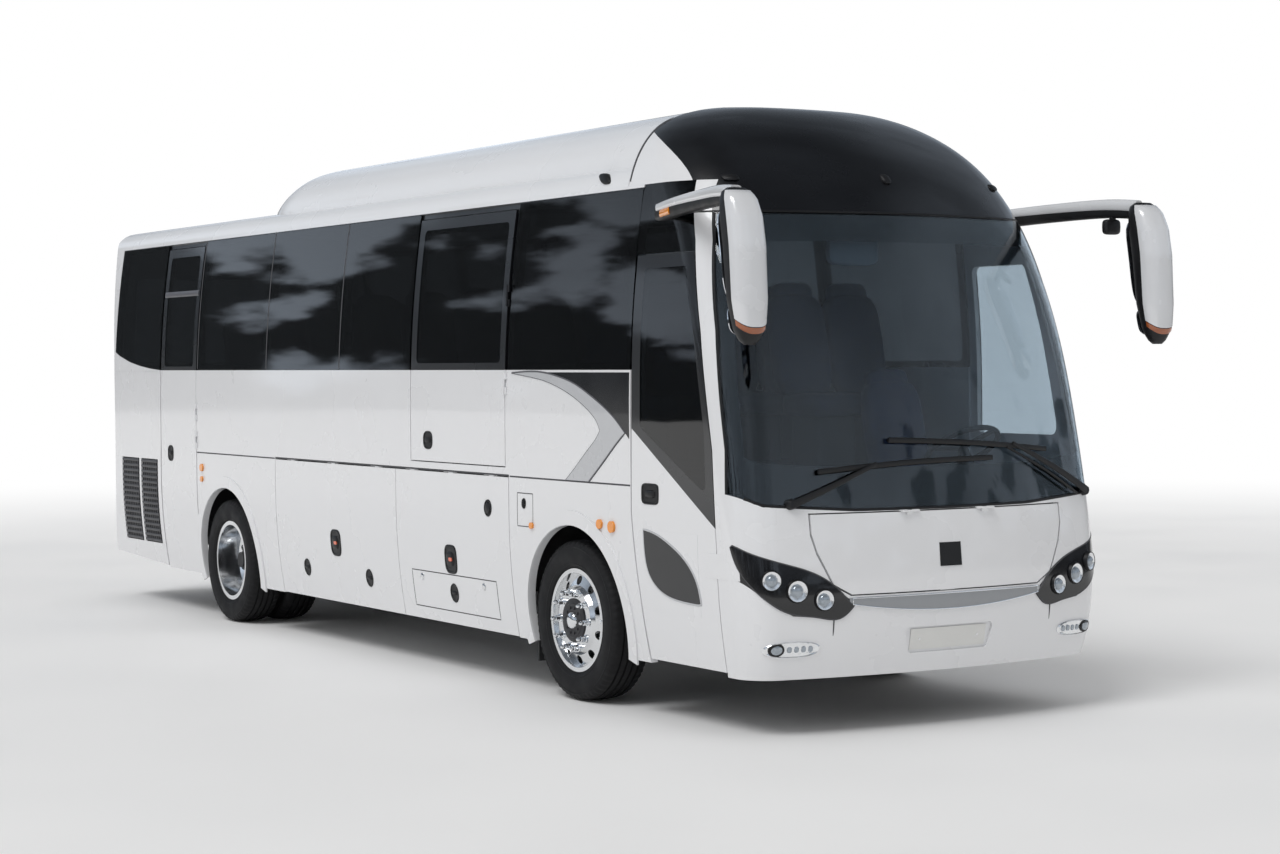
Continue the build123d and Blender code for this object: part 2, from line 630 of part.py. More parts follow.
def rear_body(inset):
    """Solid of the rear end, moved inwards by inset."""
    section = extrude(Pos(0, CORNER_START, 0) * body_face(REAR_FOOT_Z, inset), 400, dir=(0, 1, 0))
    end = REAR_END - inset
    width = HALF_WIDTH - inset
    corner = REAR_CORNER_R - inset
    plan = [
        Line((width, 0), (width, end - REAR_CORNER_R - 20 + inset)),
        ThreePointArc((width, end - REAR_CORNER_R - 20 + inset),
                      (width - 0.32 * corner, end - 0.37 * corner - 14), (width - corner, end - 20)),
        ThreePointArc((width - corner, end - 20), (0, end), (corner - width, end - 20)),
        ThreePointArc((corner - width, end - 20), (0.32 * corner - width, end - 0.37 * corner - 14),
                      (-width, end - REAR_CORNER_R - 20 + inset)),
        Line((-width, end - REAR_CORNER_R - 20 + inset), (-width, 0)),
        Line((-width, 0), (width, 0)),
    ]
    plan_body = extrude(make_face(plan), 4000, dir=(0, 0, 1))
    top = CROWN_Z - inset
    profile = Plane.YZ * (
        Line((7000, 0), (end - 60, 0))
        + ThreePointArc((end - 60, 0), (end, 1300), (end - 50, 2500))
        + ThreePointArc((end - 50, 2500), (end - 85, top - 150), (end - 240, top - 12))
        + Line((end - 240, top - 12), (7700, top + 40))
        + Line((7700, top + 40), (7000, top + 40))
        + Line((7000, top + 40), (7000, 0))
    )
    side_body = extrude(Pos(-FAR, 0, 0) * make_face(profile), 2 * FAR, dir=(1, 0, 0))
    return section & plan_body & side_body


rear_shell = rear_body(0) - rear_body(WALL)
rear_glass_shell = rear_body(0) - rear_body(GLASS)
REAR_GLASS = ((-1010, 2020), (1010, 2020), (960, 2760), (-960, 2760))
rear_glass_space = front_prism(REAR_GLASS, 7500, FAR * 4, 60)
keep("rear_glass", rear_glass_shell & rear_glass_space)
rear_panels = rear_shell - rear_glass_space

LID = ((-930, 690), (930, 690), (930, 1580), (-930, 1580))
LID_CUT = [(x + (DOOR_GAP if x > 0 else -DOOR_GAP), z + (DOOR_GAP if z > 1000 else -DOOR_GAP)) for x, z in LID]
lid = rear_panels & front_prism(LID, 7500, FAR * 4)
rear_panels = rear_panels - front_prism(LID_CUT, 7500, FAR * 4)

TAIL_LAMP = ((1000, 1000), (1400, 1000), (1400, 1640), (1080, 1640))
tail_space = front_prism(TAIL_LAMP, 7960, FAR * 4)
tail_space = tail_space + flip(tail_space)
keep("tail_lamps", rear_panels & tail_space)
rear_panels = rear_panels - tail_space

REAR_BUMPER_Z = 670
bumper_block = block((-FAR, FAR), (7000, FAR * 4), (0, REAR_BUMPER_Z))
keep("rear_bumper", rear_panels & bumper_block)
rear_panels = rear_panels - bumper_block

half = FRONT_BARREL / 2
LID_AXIS = (REAR_END + 8, 1580 + DOOR_GAP / 2)
for side in (-1, 1):
    spot = (side * HINGE_X, *LID_AXIS)
    fixed, moving = barrel_set(spot, (1, 0, 0), FRONT_BARREL, FRONT_BARREL_R)
    for lug in fixed:
        x = lug.center().X
        tab = block((x - half, x + half), (LID_AXIS[0] - 34, LID_AXIS[0]), (LID_AXIS[1] + 1, LID_AXIS[1] + 20))
        rear_panels = rear_panels + lug + tab
    tab = block((spot[0] - half, spot[0] + half), (LID_AXIS[0] - 34, LID_AXIS[0]), (LID_AXIS[1] - 20, LID_AXIS[1] - 1))
    lid = lid + moving + tab
keep("engine_lid", lid)
keep("rear_wall", rear_panels)

# Chassis rails, kicked up over the axles
RAIL_X = 430
RAIL_W = 70
RAIL_H = 130
LOW_RAIL = 320
HIGH_RAIL = 640
END_RAIL = 430
RAIL_LINE = (
    (-1850, END_RAIL), (-820, END_RAIL), (-640, HIGH_RAIL), (640, HIGH_RAIL), (820, LOW_RAIL), (4400, LOW_RAIL),
    (4700, HIGH_RAIL), (6100, HIGH_RAIL), (6300, END_RAIL), (7980, END_RAIL),
)
rail = side_prism(
    [*RAIL_LINE, *[(s, z + RAIL_H) for s, z in reversed(RAIL_LINE)]], RAIL_X - RAIL_W / 2, RAIL_X + RAIL_W / 2
)
keep("chassis_rails", rail, flip(rail))

# Cross members between the rails, with outriggers outside them: station, height of the underside, half length
CROSS = ((-1750, 450, 900), (-780, 480, 1150), (680, 620, 1150), (4620, 620, 1150), (6160, 620, 1150), (7880, 460, 1000))
DECK_POSTS = (680, 4620, 6160)
CROSS_W = 80
CROSS_H = 90
POST_W = 60
RAIL_IN = RAIL_X - RAIL_W / 2
RAIL_OUT = RAIL_X + RAIL_W / 2
cross_members = []
for s, z, half in CROSS:
    run = (s - CROSS_W / 2, s + CROSS_W / 2)
    outrigger = block((RAIL_OUT, half), run, (z, z + CROSS_H))
    if s in DECK_POSTS:
        post = (s - POST_W / 2, s + POST_W / 2)
        outrigger = outrigger + block((RAIL_OUT, RAIL_OUT + POST_W), post, (z + CROSS_H, DECK_Z - DECK_T))
    cross_members.extend([block((-RAIL_IN, RAIL_IN), run, (z, z + CROSS_H)), outrigger, flip(outrigger)])
keep("cross_members", *cross_members)

# Towing jaws on the front cross member, beside the rails
TOW_X = 560
TOW_EDGE = 50
TOW_BACK = CROSS[0][0] - CROSS_W / 2
TOW_S = TOW_BACK - 40
TOW_Z = (470, 510)
TOW_R = 21
jaw = block((RAIL_OUT, TOW_X + TOW_EDGE), (TOW_S - TOW_EDGE, TOW_BACK), TOW_Z)
jaw = jaw - rod((TOW_X, TOW_S, 0), (TOW_X, TOW_S, 1000), TOW_R)
keep("tow_jaws", jaw, flip(jaw))

# Luggage bay: floor and two bulkheads between the axles
BAY = (HATCH_STATIONS[0] + 105, HATCH_STATIONS[2] + 20)
BAY_HALF = 1130
BULKHEAD = 20
bay_floor = block((-BAY_HALF, BAY_HALF), BAY, (BAY_FLOOR_Z - BAY_FLOOR_T, BAY_FLOOR_Z))
front_bulkhead = block((-BAY_HALF, BAY_HALF), (BAY[0], BAY[0] + BULKHEAD), (BAY_FLOOR_Z, DECK_Z - DECK_T))
rear_bulkhead = block((-BAY_HALF, BAY_HALF), (BAY[1] - BULKHEAD, BAY[1]), (BAY_FLOOR_Z, DECK_Z - DECK_T))
keep("luggage_bay", bay_floor + front_bulkhead + rear_bulkhead)

# Saloon deck, cab platform, the riser between them and the entrance steps
RISER_S = -660
deck = block((-HALF_WIDTH + WALL, HALF_WIDTH - WALL), (RISER_S, CORNER_START), (DECK_Z - DECK_T, DECK_Z))
riser = block((-1150, 1150), (RISER_S - 20, RISER_S), (CAB_FLOOR_Z - CAB_FLOOR_T, DECK_Z))
STEP_INNER_X = -350
platform = block((STEP_INNER_X, 1150), (-1780, RISER_S - 20), (CAB_FLOOR_Z - CAB_FLOOR_T, CAB_FLOOR_Z))
STEPS = ((-1120, -870, STEP_Z), (-870, -610, 590), (-610, STEP_INNER_X, 800))
STEP_T = 30
STEP_S = (-1580, -850)
steps = None
for x0, x1, z in STEPS:
    tread = block((x0, x1 + STEP_T), STEP_S, (z - STEP_T, z))
    steps = tread if steps is None else steps + tread
for (x0, x1, z), (_, _, above) in zip(STEPS, [*STEPS[1:], (0, 0, CAB_FLOOR_Z)]):
    steps = steps + block((x1, x1 + STEP_T), STEP_S, (z - STEP_T, above))
gangway = block((-300, 300), (RISER_S - 320, RISER_S - 20), (CAB_FLOOR_Z, 1090))
keep("floor_deck", deck + riser + platform + gangway)
keep("entrance_steps", steps - platform)

# Wheel housings: end walls and an inner wall under the deck, with a flap behind the front wheels
HOUSING_X = (545, 1150)
HOUSING_T = 14
HOUSINGS = (
    (FRONT_ARCH_S - 612, FRONT_ARCH_S + 655, 600, True),
    (REAR_ARCH_S - 600, REAR_ARCH_S + 600, 600, False),
)
housings = []
for s0, s1, foot, flap_here in HOUSINGS:
    top = DECK_Z - DECK_T
    body = block((HOUSING_X[0], HOUSING_X[0] + HOUSING_T), (s0, s1), (HIGH_RAIL + RAIL_H + 60, top))
    body = body + block(HOUSING_X, (s0, s0 + HOUSING_T), (foot, top))
    body = body + block(HOUSING_X, (s1 - HOUSING_T, s1), (foot, top))
    if flap_here:
        body = body + block((930, 1110), (s1 - HOUSING_T, s1), (170, foot))
    housings.extend([body, flip(body)])
keep("wheel_housings", *housings)

# Engine and gearbox mass behind the rear axle
ENGINE = ((-RAIL_X, RAIL_X), (6380, 7830), (END_RAIL + RAIL_H, 1180))
keep("engine_block", block(*ENGINE))


# Wheels
def turned(points, x, flipped):
    """Ring turned about the axle line from (axial, radius) points, outward side first."""
    sign = -1 if flipped else 1
    face = make_face(Polyline(*[(x + sign * a, r) for a, r in points], close=True))
    return revolve(face, axis=Axis.X)


RIM_R = 307
BEAD_R = 290
RIM_HALF = 115
RIM_WALL = 14


def rim(x, disc, hub_r, flipped):
    """Wheel rim: a barrel with two lips, and a dished disc that ends at disc from the middle."""
    bore = hub_r + SEAT_GAP
    points = (
        (-RIM_HALF, BEAD_R - RIM_WALL), (-RIM_HALF, RIM_R), (-RIM_HALF + 10, RIM_R), (-RIM_HALF + 17, BEAD_R),
        (RIM_HALF - 17, BEAD_R), (RIM_HALF - 10, RIM_R), (RIM_HALF, RIM_R), (RIM_HALF, BEAD_R - 8),
        (80, BEAD_R - 22), (disc - 24, 207), (disc, 188), (disc, bore), (disc - 18, bore),
        (disc - 18, 180), (disc - 42, 197), (62, BEAD_R - RIM_WALL),
    )
    body = turned(points, x, flipped)
    for index in range(10):
        spoke = Rot(X=36 * index) * rod((x - 400, 0, 236), (x + 400, 0, 236), 27)
        body = body - spoke
    return body


def tyre(x):
    """Tyre ring with round sidewalls and shoulders."""
    half = TYRE_WIDTH / 2
    right = [
        Line((x + 94, BEAD_R + SEAT_GAP), (x + 101, RIM_R + 1)),
        Line((x + 101, RIM_R + 1), (x + 120, RIM_R + 1)),
        ThreePointArc((x + 120, RIM_R + 1), (x + half, 392), (x + 124, 452)),
        ThreePointArc((x + 124, 452), (x + 117, 467), (x + 100, 473)),
    ]
    left = [mirror(edge, about=Plane(origin=(x, 0, 0), z_dir=(1, 0, 0))).edge() for edge in right]
    tread = ThreePointArc((x + 100, 473), (x, TYRE_R), (x - 100, 473))
    seat = Line((x + 94, BEAD_R + SEAT_GAP), (x - 94, BEAD_R + SEAT_GAP))
    return revolve(make_face([*right, tread, *left, seat]), axis=Axis.X)


def at_axle(shape, s):
    """Shape turned about the X axis, put on an axle."""
    return Pos(0, s, TYRE_R) * shape


FRONT_DISC = 128
TWIN_INNER_X = STEER_WHEEL_X - TWIN_SPACING
TWIN_DISC = TWIN_SPACING / 2
front_rim = at_axle(rim(STEER_WHEEL_X, FRONT_DISC, SPINDLE_R, False), 0)
front_tyre = at_axle(tyre(STEER_WHEEL_X), 0)
rear_rims = [
    at_axle(rim(STEER_WHEEL_X, TWIN_DISC, REAR_SPINDLE_R, True), WHEELBASE),
    at_axle(rim(TWIN_INNER_X, TWIN_DISC, REAR_SPINDLE_R, False), WHEELBASE),
]
rear_tyres = [at_axle(tyre(x), WHEELBASE) for x in (STEER_WHEEL_X, TWIN_INNER_X)]
for side, place in (("left", lambda shape: shape), ("right", flip)):
    keep(f"front_rim_{side}", place(front_rim))
    keep(f"front_tyre_{side}", place(front_tyre))
    keep(f"rear_rims_{side}", place(rear_rims[0]), place(rear_rims[1]))
    keep(f"rear_tyres_{side}", *[place(ring) for ring in rear_tyres])

# Front axle with kingpin eyes, and a steering knuckle on each
EYE_R = 52
EYE_HALF = 70
BEAM_Z = (TYRE_R - 150, TYRE_R - 40)
front_axle = block((-800, 800), (-45, 45), BEAM_Z)
for side in (-1, 1):
    x = side * KINGPIN_X
    front_axle = front_axle + block(sorted((side * 760, x)), (-40, 40), (TYRE_R - EYE_HALF + 6, TYRE_R + 30))
    front_axle = front_axle + rod((x, 0, TYRE_R - EYE_HALF), (x, 0, TYRE_R + EYE_HALF), EYE_R)
for side in (-1, 1):
    x = side * RAIL_X
    front_axle = front_axle + block((x - 40, x + 40), (-60, 60), (BEAM_Z[1], HIGH_RAIL))
keep("front_axle", front_axle)

CHEEK = 36
WEB_X = KINGPIN_X + EYE_R + 12
knuckle = rod((WEB_X, 0, TYRE_R), (STEER_WHEEL_X + FRONT_DISC + 12, 0, TYRE_R), SPINDLE_R)
knuckle = knuckle + block((WEB_X, WEB_X + 30), (-60, 60), (TYRE_R - EYE_HALF - CHEEK, TYRE_R + EYE_HALF + CHEEK))
for low in (TYRE_R - EYE_HALF - SEAT_GAP - CHEEK, TYRE_R + EYE_HALF + SEAT_GAP):
    knuckle = knuckle + rod((KINGPIN_X, 0, low), (KINGPIN_X, 0, low + CHEEK), EYE_R)
    knuckle = knuckle + block((KINGPIN_X, WEB_X + 30), (-EYE_R, EYE_R), (low, low + CHEEK))
keep("knuckle_left", knuckle)
keep("knuckle_right", flip(knuckle))

# Rear axle tube with its differential and spring seats
rear_axle = rod((-880, 0, 0), (880, 0, 0), 85)
rear_axle = rear_axle + rod((-1110, 0, 0), (1110, 0, 0), REAR_SPINDLE_R)
rear_axle = rear_axle + rod((-110, 0, 0), (110, 0, 0), 200) + rod((0, 0, 0), (0, 330, 0), 120)
rear_axle = at_axle(rear_axle, WHEELBASE)
for side in (-1, 1):
    x = side * RAIL_X
    rear_axle = rear_axle + block((x - 50, x + 50), (WHEELBASE - 70, WHEELBASE + 70), (TYRE_R, HIGH_RAIL))
keep("rear_axle", rear_axle)

# Dashboard with the steering column and wheel
DASH = ((-1800, CAB_FLOOR_Z), (-1800, 1225), (-1680, 1280), (-1520, 1225), (-1510, 1120), (-1620, 1060),
        (-1620, CAB_FLOOR_Z))
dash = side_prism(DASH, -1010, 1010) & front_body(PANEL + 30)
COLUMN_X = 560
COLUMN_FOOT = (-1660, 1180)
WHEEL_HUB = (-1450, 1500)
dash = dash + rod((COLUMN_X, *COLUMN_FOOT), (COLUMN_X, *WHEEL_HUB), 30)
wheel_axis = (0, WHEEL_HUB[0] - COLUMN_FOOT[0], WHEEL_HUB[1] - COLUMN_FOOT[1])
wheel_tilt = Plane(origin=(COLUMN_X, *WHEEL_HUB), z_dir=wheel_axis)
dash = dash + wheel_tilt * Torus(215, 16)
for angle in (90, 210, 330):
    dash = dash + wheel_tilt * Rot(Z=angle) * Pos(108, 0, 0) * Box(216, 36, 14)
keep("dashboard", dash)

# Seats: a profile of cushion, back and foot carried across one or two places
SEAT = ((0, 0), (430, 0), (430, 60), (360, 300), (470, 320), (590, 1130), (480, 1140), (370, 440), (0, 450), (-20, 330),
        (90, 300), (90, 60), (0, 60))


def seat(x0, x1, s, z):
    """Seat between two widths, its front foot at station s on a floor at height z."""
    return side_prism([(s + a, z + b) for a, b in SEAT], x0, x1, 18)


SEAT_ROWS = 9
SEAT_PITCH = 800
FIRST_SEAT_S = -420
SEAT_X = (250, 1110)
seats = [seat(330, 790, -1280, CAB_FLOOR_Z)]
for row in range(SEAT_ROWS):
    s = FIRST_SEAT_S + row * SEAT_PITCH
    pair = seat(*SEAT_X, s, DECK_Z)
    seats.append(pair)
    if s + 600 < REAR_DOOR[0] or s > REAR_DOOR[1]:
        seats.append(flip(pair))
keep("seats", *seats)

# Mirrors: an arm from the roof edge above the door, and a drooping head
ARM_ROOT = (1150, -960, 2850)
ARM_ELBOW = (1320, -1750, 2885)
HEAD_TOP = (1405, -2110, 2800)
MIRROR_ARM_R = 32
HEAD = ((1310, 2100), (1500, 2100), (1500, 2840), (1310, 2840))


def mirror_set():
    """Left mirror: a bar in two runs, a root block on the body and the head."""
    root = block((1090, 1180), (-1020, -900), (2815, 2885)) - front_outer
    bar = rod(ARM_ROOT, ARM_ELBOW, MIRROR_ARM_R) + Pos(*ARM_ELBOW) * Sphere(MIRROR_ARM_R)
    bar = bar + rod(ARM_ELBOW, HEAD_TOP, MIRROR_ARM_R)
    head = front_prism(HEAD, -2230, -1990, 60)
    return (root + bar + head) - front_outer


left_mirror = mirror_set()
keep("mirrors", left_mirror, flip(left_mirror))

# Wipers: a bent arm and a blade that follow the glass
WIPERS = ((-760, -100, 1330), (60, 820, 1440))
wipers = []
for x0, x1, z in WIPERS:
    near = front_body(-14) - front_body(-SEAT_GAP)
    wipers.append(near & block((x0, x1), (-FAR, -1500), (z, z + 26)))
keep("wipers", *wipers)

# Marker lamps: round side lamps, two roof lamps
MARKERS = ((-530, 1064, 34), (-395, 1073, 28), (420, 1020, 20), (5830, 1190, 30), (5830, 1100, 22))
markers = []
for s, z, radius in MARKERS:
    face_x = half_width(z + radius) + SEAT_GAP
    lamp = rod((face_x, s, z), (face_x + 14, s, z), radius)
    markers.extend([lamp, flip(lamp)])
keep("marker_lamps", *markers)

os.makedirs("parts", exist_ok=True)
for name, solids in nodes.items():
    shape = Compound(children=[Pos(0, FRONT_AXLE_Y, 0) * solid for solid in solids])
    export_step(shape, f"parts/{name}.step")
    print(name, len(solids))
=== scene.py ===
from math import cos, pi, radians, sin

import bmesh
import bpy
import numpy as np
from mathutils import Matrix, Vector


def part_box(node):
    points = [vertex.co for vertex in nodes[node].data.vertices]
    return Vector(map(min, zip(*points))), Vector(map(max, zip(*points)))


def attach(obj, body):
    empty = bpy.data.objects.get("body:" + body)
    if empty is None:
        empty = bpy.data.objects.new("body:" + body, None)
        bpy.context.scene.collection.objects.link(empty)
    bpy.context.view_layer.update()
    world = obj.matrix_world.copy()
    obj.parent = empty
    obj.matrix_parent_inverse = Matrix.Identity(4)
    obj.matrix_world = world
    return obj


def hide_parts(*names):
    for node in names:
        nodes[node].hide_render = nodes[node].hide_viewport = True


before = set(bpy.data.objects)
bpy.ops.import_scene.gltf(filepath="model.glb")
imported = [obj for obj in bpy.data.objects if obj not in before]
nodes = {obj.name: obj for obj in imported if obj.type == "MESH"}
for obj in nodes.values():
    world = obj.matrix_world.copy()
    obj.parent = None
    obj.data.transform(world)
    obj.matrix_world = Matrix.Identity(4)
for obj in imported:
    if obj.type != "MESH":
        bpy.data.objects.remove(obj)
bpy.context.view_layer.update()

# Chassis. Two pressed steel rails with welded cross members, the axles hung under them, all in black
# chassis paint that has gone dull and dusty from the road. The engine behind the rear axle is bare casting.
AXLE_Y = -2.957


def node(tree, kind, inputs=None, **settings):
    """New shader node: settings are its own values, and inputs gives its sockets, by name or number, a value
    each or another node's output to link."""
    made = tree.nodes.new("ShaderNode" + kind)
    for name, value in settings.items():
        setattr(made, name, value)
    for socket, value in (inputs or {}).items():
        if isinstance(value, bpy.types.NodeSocket):
            tree.links.new(value, made.inputs[socket])
        else:
            made.inputs[socket].default_value = value
    return made


def finish(name, colour, rough, tone=0.1, spread=2.0, grain=0.0, fine=400.0, **sockets):
    """Finish from noises in object space: a broad one shades the colour by the share tone and moves the
    roughness with it, and a fine one, grain metres high, is the bump. Sockets holds the shader's even
    values."""
    material = bpy.data.materials.new(name)
    material.use_nodes = True
    tree = material.node_tree
    shader = tree.nodes["Principled BSDF"]
    place = node(tree, "TexCoord").outputs["Object"]
    broad = node(tree, "TexNoise", {"Vector": place, "Scale": spread, "Detail": 5}).outputs["Fac"]
    low, high = [tuple(min(c * k, 1) for c in colour) + (1,) for k in (1 - tone, 1 + tone)]
    shade = node(tree, "Mix", {0: broad, 6: low, 7: high}, data_type="RGBA")
    tree.links.new(shade.outputs[2], shader.inputs["Base Color"])
    polish = node(tree, "MapRange", {"Value": broad, "From Min": 0.3, "From Max": 0.7,
                                     "To Min": rough * 0.8, "To Max": rough * 1.2})
    tree.links.new(polish.outputs["Result"], shader.inputs["Roughness"])
    if grain:
        pores = node(tree, "TexNoise", {"Vector": place, "Scale": fine, "Detail": 3})
        bump = node(tree, "Bump", {"Height": pores.outputs["Fac"], "Distance": grain})
        tree.links.new(bump.outputs["Normal"], shader.inputs["Normal"])
    for socket, value in sockets.items():
        shader.inputs[socket.replace("_", " ").title().replace("Ior", "IOR")].default_value = value
    return material


def dress(material, *names):
    """Put a finish on modelled nodes."""
    for name in names:
        for place in nodes[name].material_slots:
            place.material = material


chassis_paint = finish("chassis_paint", (0.028, 0.028, 0.03), 0.55, 0.35, 4, 0.0004, 300)
dress(chassis_paint, "chassis_rails", "cross_members", "tow_jaws", "wheel_housings", "front_axle",
      "rear_axle", "knuckle_left", "knuckle_right")
dress(finish("engine_casting", (0.16, 0.16, 0.165), 0.6, 0.3, 6, 0.001, 150, metallic=0.6), "engine_block")

# Tyres. Tubeless road tyres with plain sidewalls, four grooves round the tread and notched shoulders, in
# black rubber. They sit on the rims, one at each front wheel and two at each rear wheel.
TYRE_HALF, TREAD_R, TREAD_HALF, CAMBER = 0.1375, 0.479, 0.104, 0.0078
GROOVES, GROOVE_DEPTH = (0.066, 0.022, -0.022, -0.066), 0.013
NOTCHES, NOTCH_DEPTH = 64, 0.006


def lattice(points, wrap_u=False, wrap_v=False):
    """Vertices and quads of a grid of points. A wrapped direction runs on from its last line to its first."""
    index = np.arange(points.shape[0] * points.shape[1]).reshape(points.shape[:2])
    if wrap_u:
        index = np.vstack([index, index[:1]])
    if wrap_v:
        index = np.hstack([index, index[:, :1]])
    quads = np.stack([index[:-1, :-1], index[1:, :-1], index[1:, 1:], index[:-1, 1:]], -1)
    return points.reshape(-1, 3), quads.reshape(-1, 4)


def piece(name, grids, body, material, sharp=38):
    """One mesh of several grids, doubles merged and faces turned outwards, that rides on a body."""
    starts = np.cumsum([0] + [len(points) for points, quads in grids])
    verts = np.vstack([points for points, quads in grids])
    faces = np.vstack([quads + start for (points, quads), start in zip(grids, starts)])
    mesh = bpy.data.meshes.new(name)
    mesh.from_pydata(verts.tolist(), [], faces.tolist())
    work = bmesh.new()
    work.from_mesh(mesh)
    bmesh.ops.remove_doubles(work, verts=work.verts, dist=2e-5)
    bmesh.ops.dissolve_degenerate(work, dist=1e-6, edges=work.edges)
    bmesh.ops.recalc_face_normals(work, faces=work.faces)
    work.to_mesh(mesh)
    work.free()
    mesh.shade_smooth()
    mesh.set_sharp_from_angle(angle=radians(sharp))
    mesh.materials.append(material)
    thing = bpy.data.objects.new(name, mesh)
    bpy.context.scene.collection.objects.link(thing)
    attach(thing, body)
    return thing


wall = np.array([(0.094, 0.2905), (0.104, 0.3), (0.109, 0.311), (0.122, 0.318), (0.1305, 0.333),
                 (0.1322, 0.3375), (0.1308, 0.342), (0.1345, 0.358), (0.1375, 0.386), (0.1366, 0.41),
                 (0.132, 0.431), (0.1338, 0.4355), (0.131, 0.44), (0.1265, 0.453), (0.118, 0.4645),
                 (0.104, 0.4712)])
groove = np.array(((0.007, 0), (0.0045, GROOVE_DEPTH), (-0.0045, GROOVE_DEPTH), (-0.007, 0)))
crown = np.vstack([groove + (middle, 0) for middle in GROOVES])
crown[:, 1] = TREAD_R - CAMBER * (crown[:, 0] / TREAD_HALF) ** 2 - crown[:, 1]
tyre_side = np.vstack([wall, crown, wall[::-1] * (-1, 1)])
tyre_turn = np.linspace(0, 2 * pi, NOTCHES * 4, endpoint=False)
shoulder = (np.abs(tyre_side[:, 0]) > 0.098) & (tyre_side[:, 1] > 0.45)
notch = np.tile((1.0, 1.0, 0.0, 0.0), NOTCHES)
tyre_r = tyre_side[:, 1, None] - NOTCH_DEPTH * shoulder[:, None] * notch
tyre_x = tyre_side[:, 0, None] + 0 * tyre_r
tyre_grid = np.stack([tyre_x, tyre_r * np.cos(tyre_turn), tyre_r * np.sin(tyre_turn)], -1)
rubber = finish("tyre_rubber", (0.012, 0.012, 0.013), 0.65, 0.4, 9, 0.0003, 500, specular_ior_level=0.25)
for end in ("left", "right"):
    low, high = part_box("front_tyre_" + end)
    grids = [lattice(tyre_grid + np.array((low + high) / 2), True, True)]
    tyre = piece("road_tyre_front_" + end, grids, "front_wheel_" + end, rubber, 30)
    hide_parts("front_tyre_" + end)
    low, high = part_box("rear_tyres_" + end)
    middle = np.array((low + high) / 2)
    reach = np.array(((high.x - low.x) / 2 - TYRE_HALF, 0, 0))
    grids = [lattice(tyre_grid + middle + reach, True, True), lattice(tyre_grid + middle - reach, True, True)]
    tyre = piece("road_tyres_rear_" + end, grids, "rear_wheels_" + end, rubber, 30)
    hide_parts("rear_tyres_" + end)

# Wheel fittings. Polished forged rims with ten hand holes. Ten long chromed nuts hold each disc; a dark cast
# hub with its own bolts stands in the middle, longer at the rear, and a bright cap stands on each front hub.
NUT_RING, NUTS = 0.1675, 10
FRONT_BOLTS, FRONT_BOLT_RING = 10, 0.076
REAR_BOLTS, REAR_BOLT_RING, REAR_BOLT_OUT = 12, 0.112, 0.056
REAR_DISC_X = 0.9305
alloy = finish("polished_alloy", (0.78, 0.79, 0.8), 0.16, 0.06, 12, 0.00004, 900, metallic=1.0)
dress(alloy, "front_rim_left", "front_rim_right", "rear_rims_left", "rear_rims_right")
chrome = finish("chrome", (0.82, 0.83, 0.84), 0.08, 0.05, 20, 0.00001, 900, metallic=1.0)
hub_iron = finish("hub_iron", (0.05, 0.05, 0.053), 0.45, 0.3, 20, 0.0003, 400, metallic=0.5)


def turned(profile, centre, axis, steps=32):
    """Profile of (axial, radius) points carried round an axis through centre: at the angle a a point lies at
    centre + axial * axis + radius * (cos a, sin a) in the plane across the axis."""
    axis = np.array(axis, float) / np.linalg.norm(axis)
    aside = np.cross((0, 0, 1.0) if abs(axis[2]) < 0.9 else (0, 1.0, 0), axis)
    aside /= np.linalg.norm(aside)
    angle = np.linspace(0, 2 * pi, steps, endpoint=False)[None, :, None]
    axial, radius = np.array(profile, float).T[..., None, None]
    ring = np.cos(angle) * aside + np.sin(angle) * np.cross(axis, aside)
    return lattice(np.array(centre) + axial * axis + radius * ring, wrap_v=True)


def circle(count, radius, centre):
    """Points spaced evenly round a circle in the plane across X."""
    angle = np.arange(count) * 2 * pi / count
    return np.stack([0 * angle, radius * np.cos(angle), radius * np.sin(angle)], -1) + centre


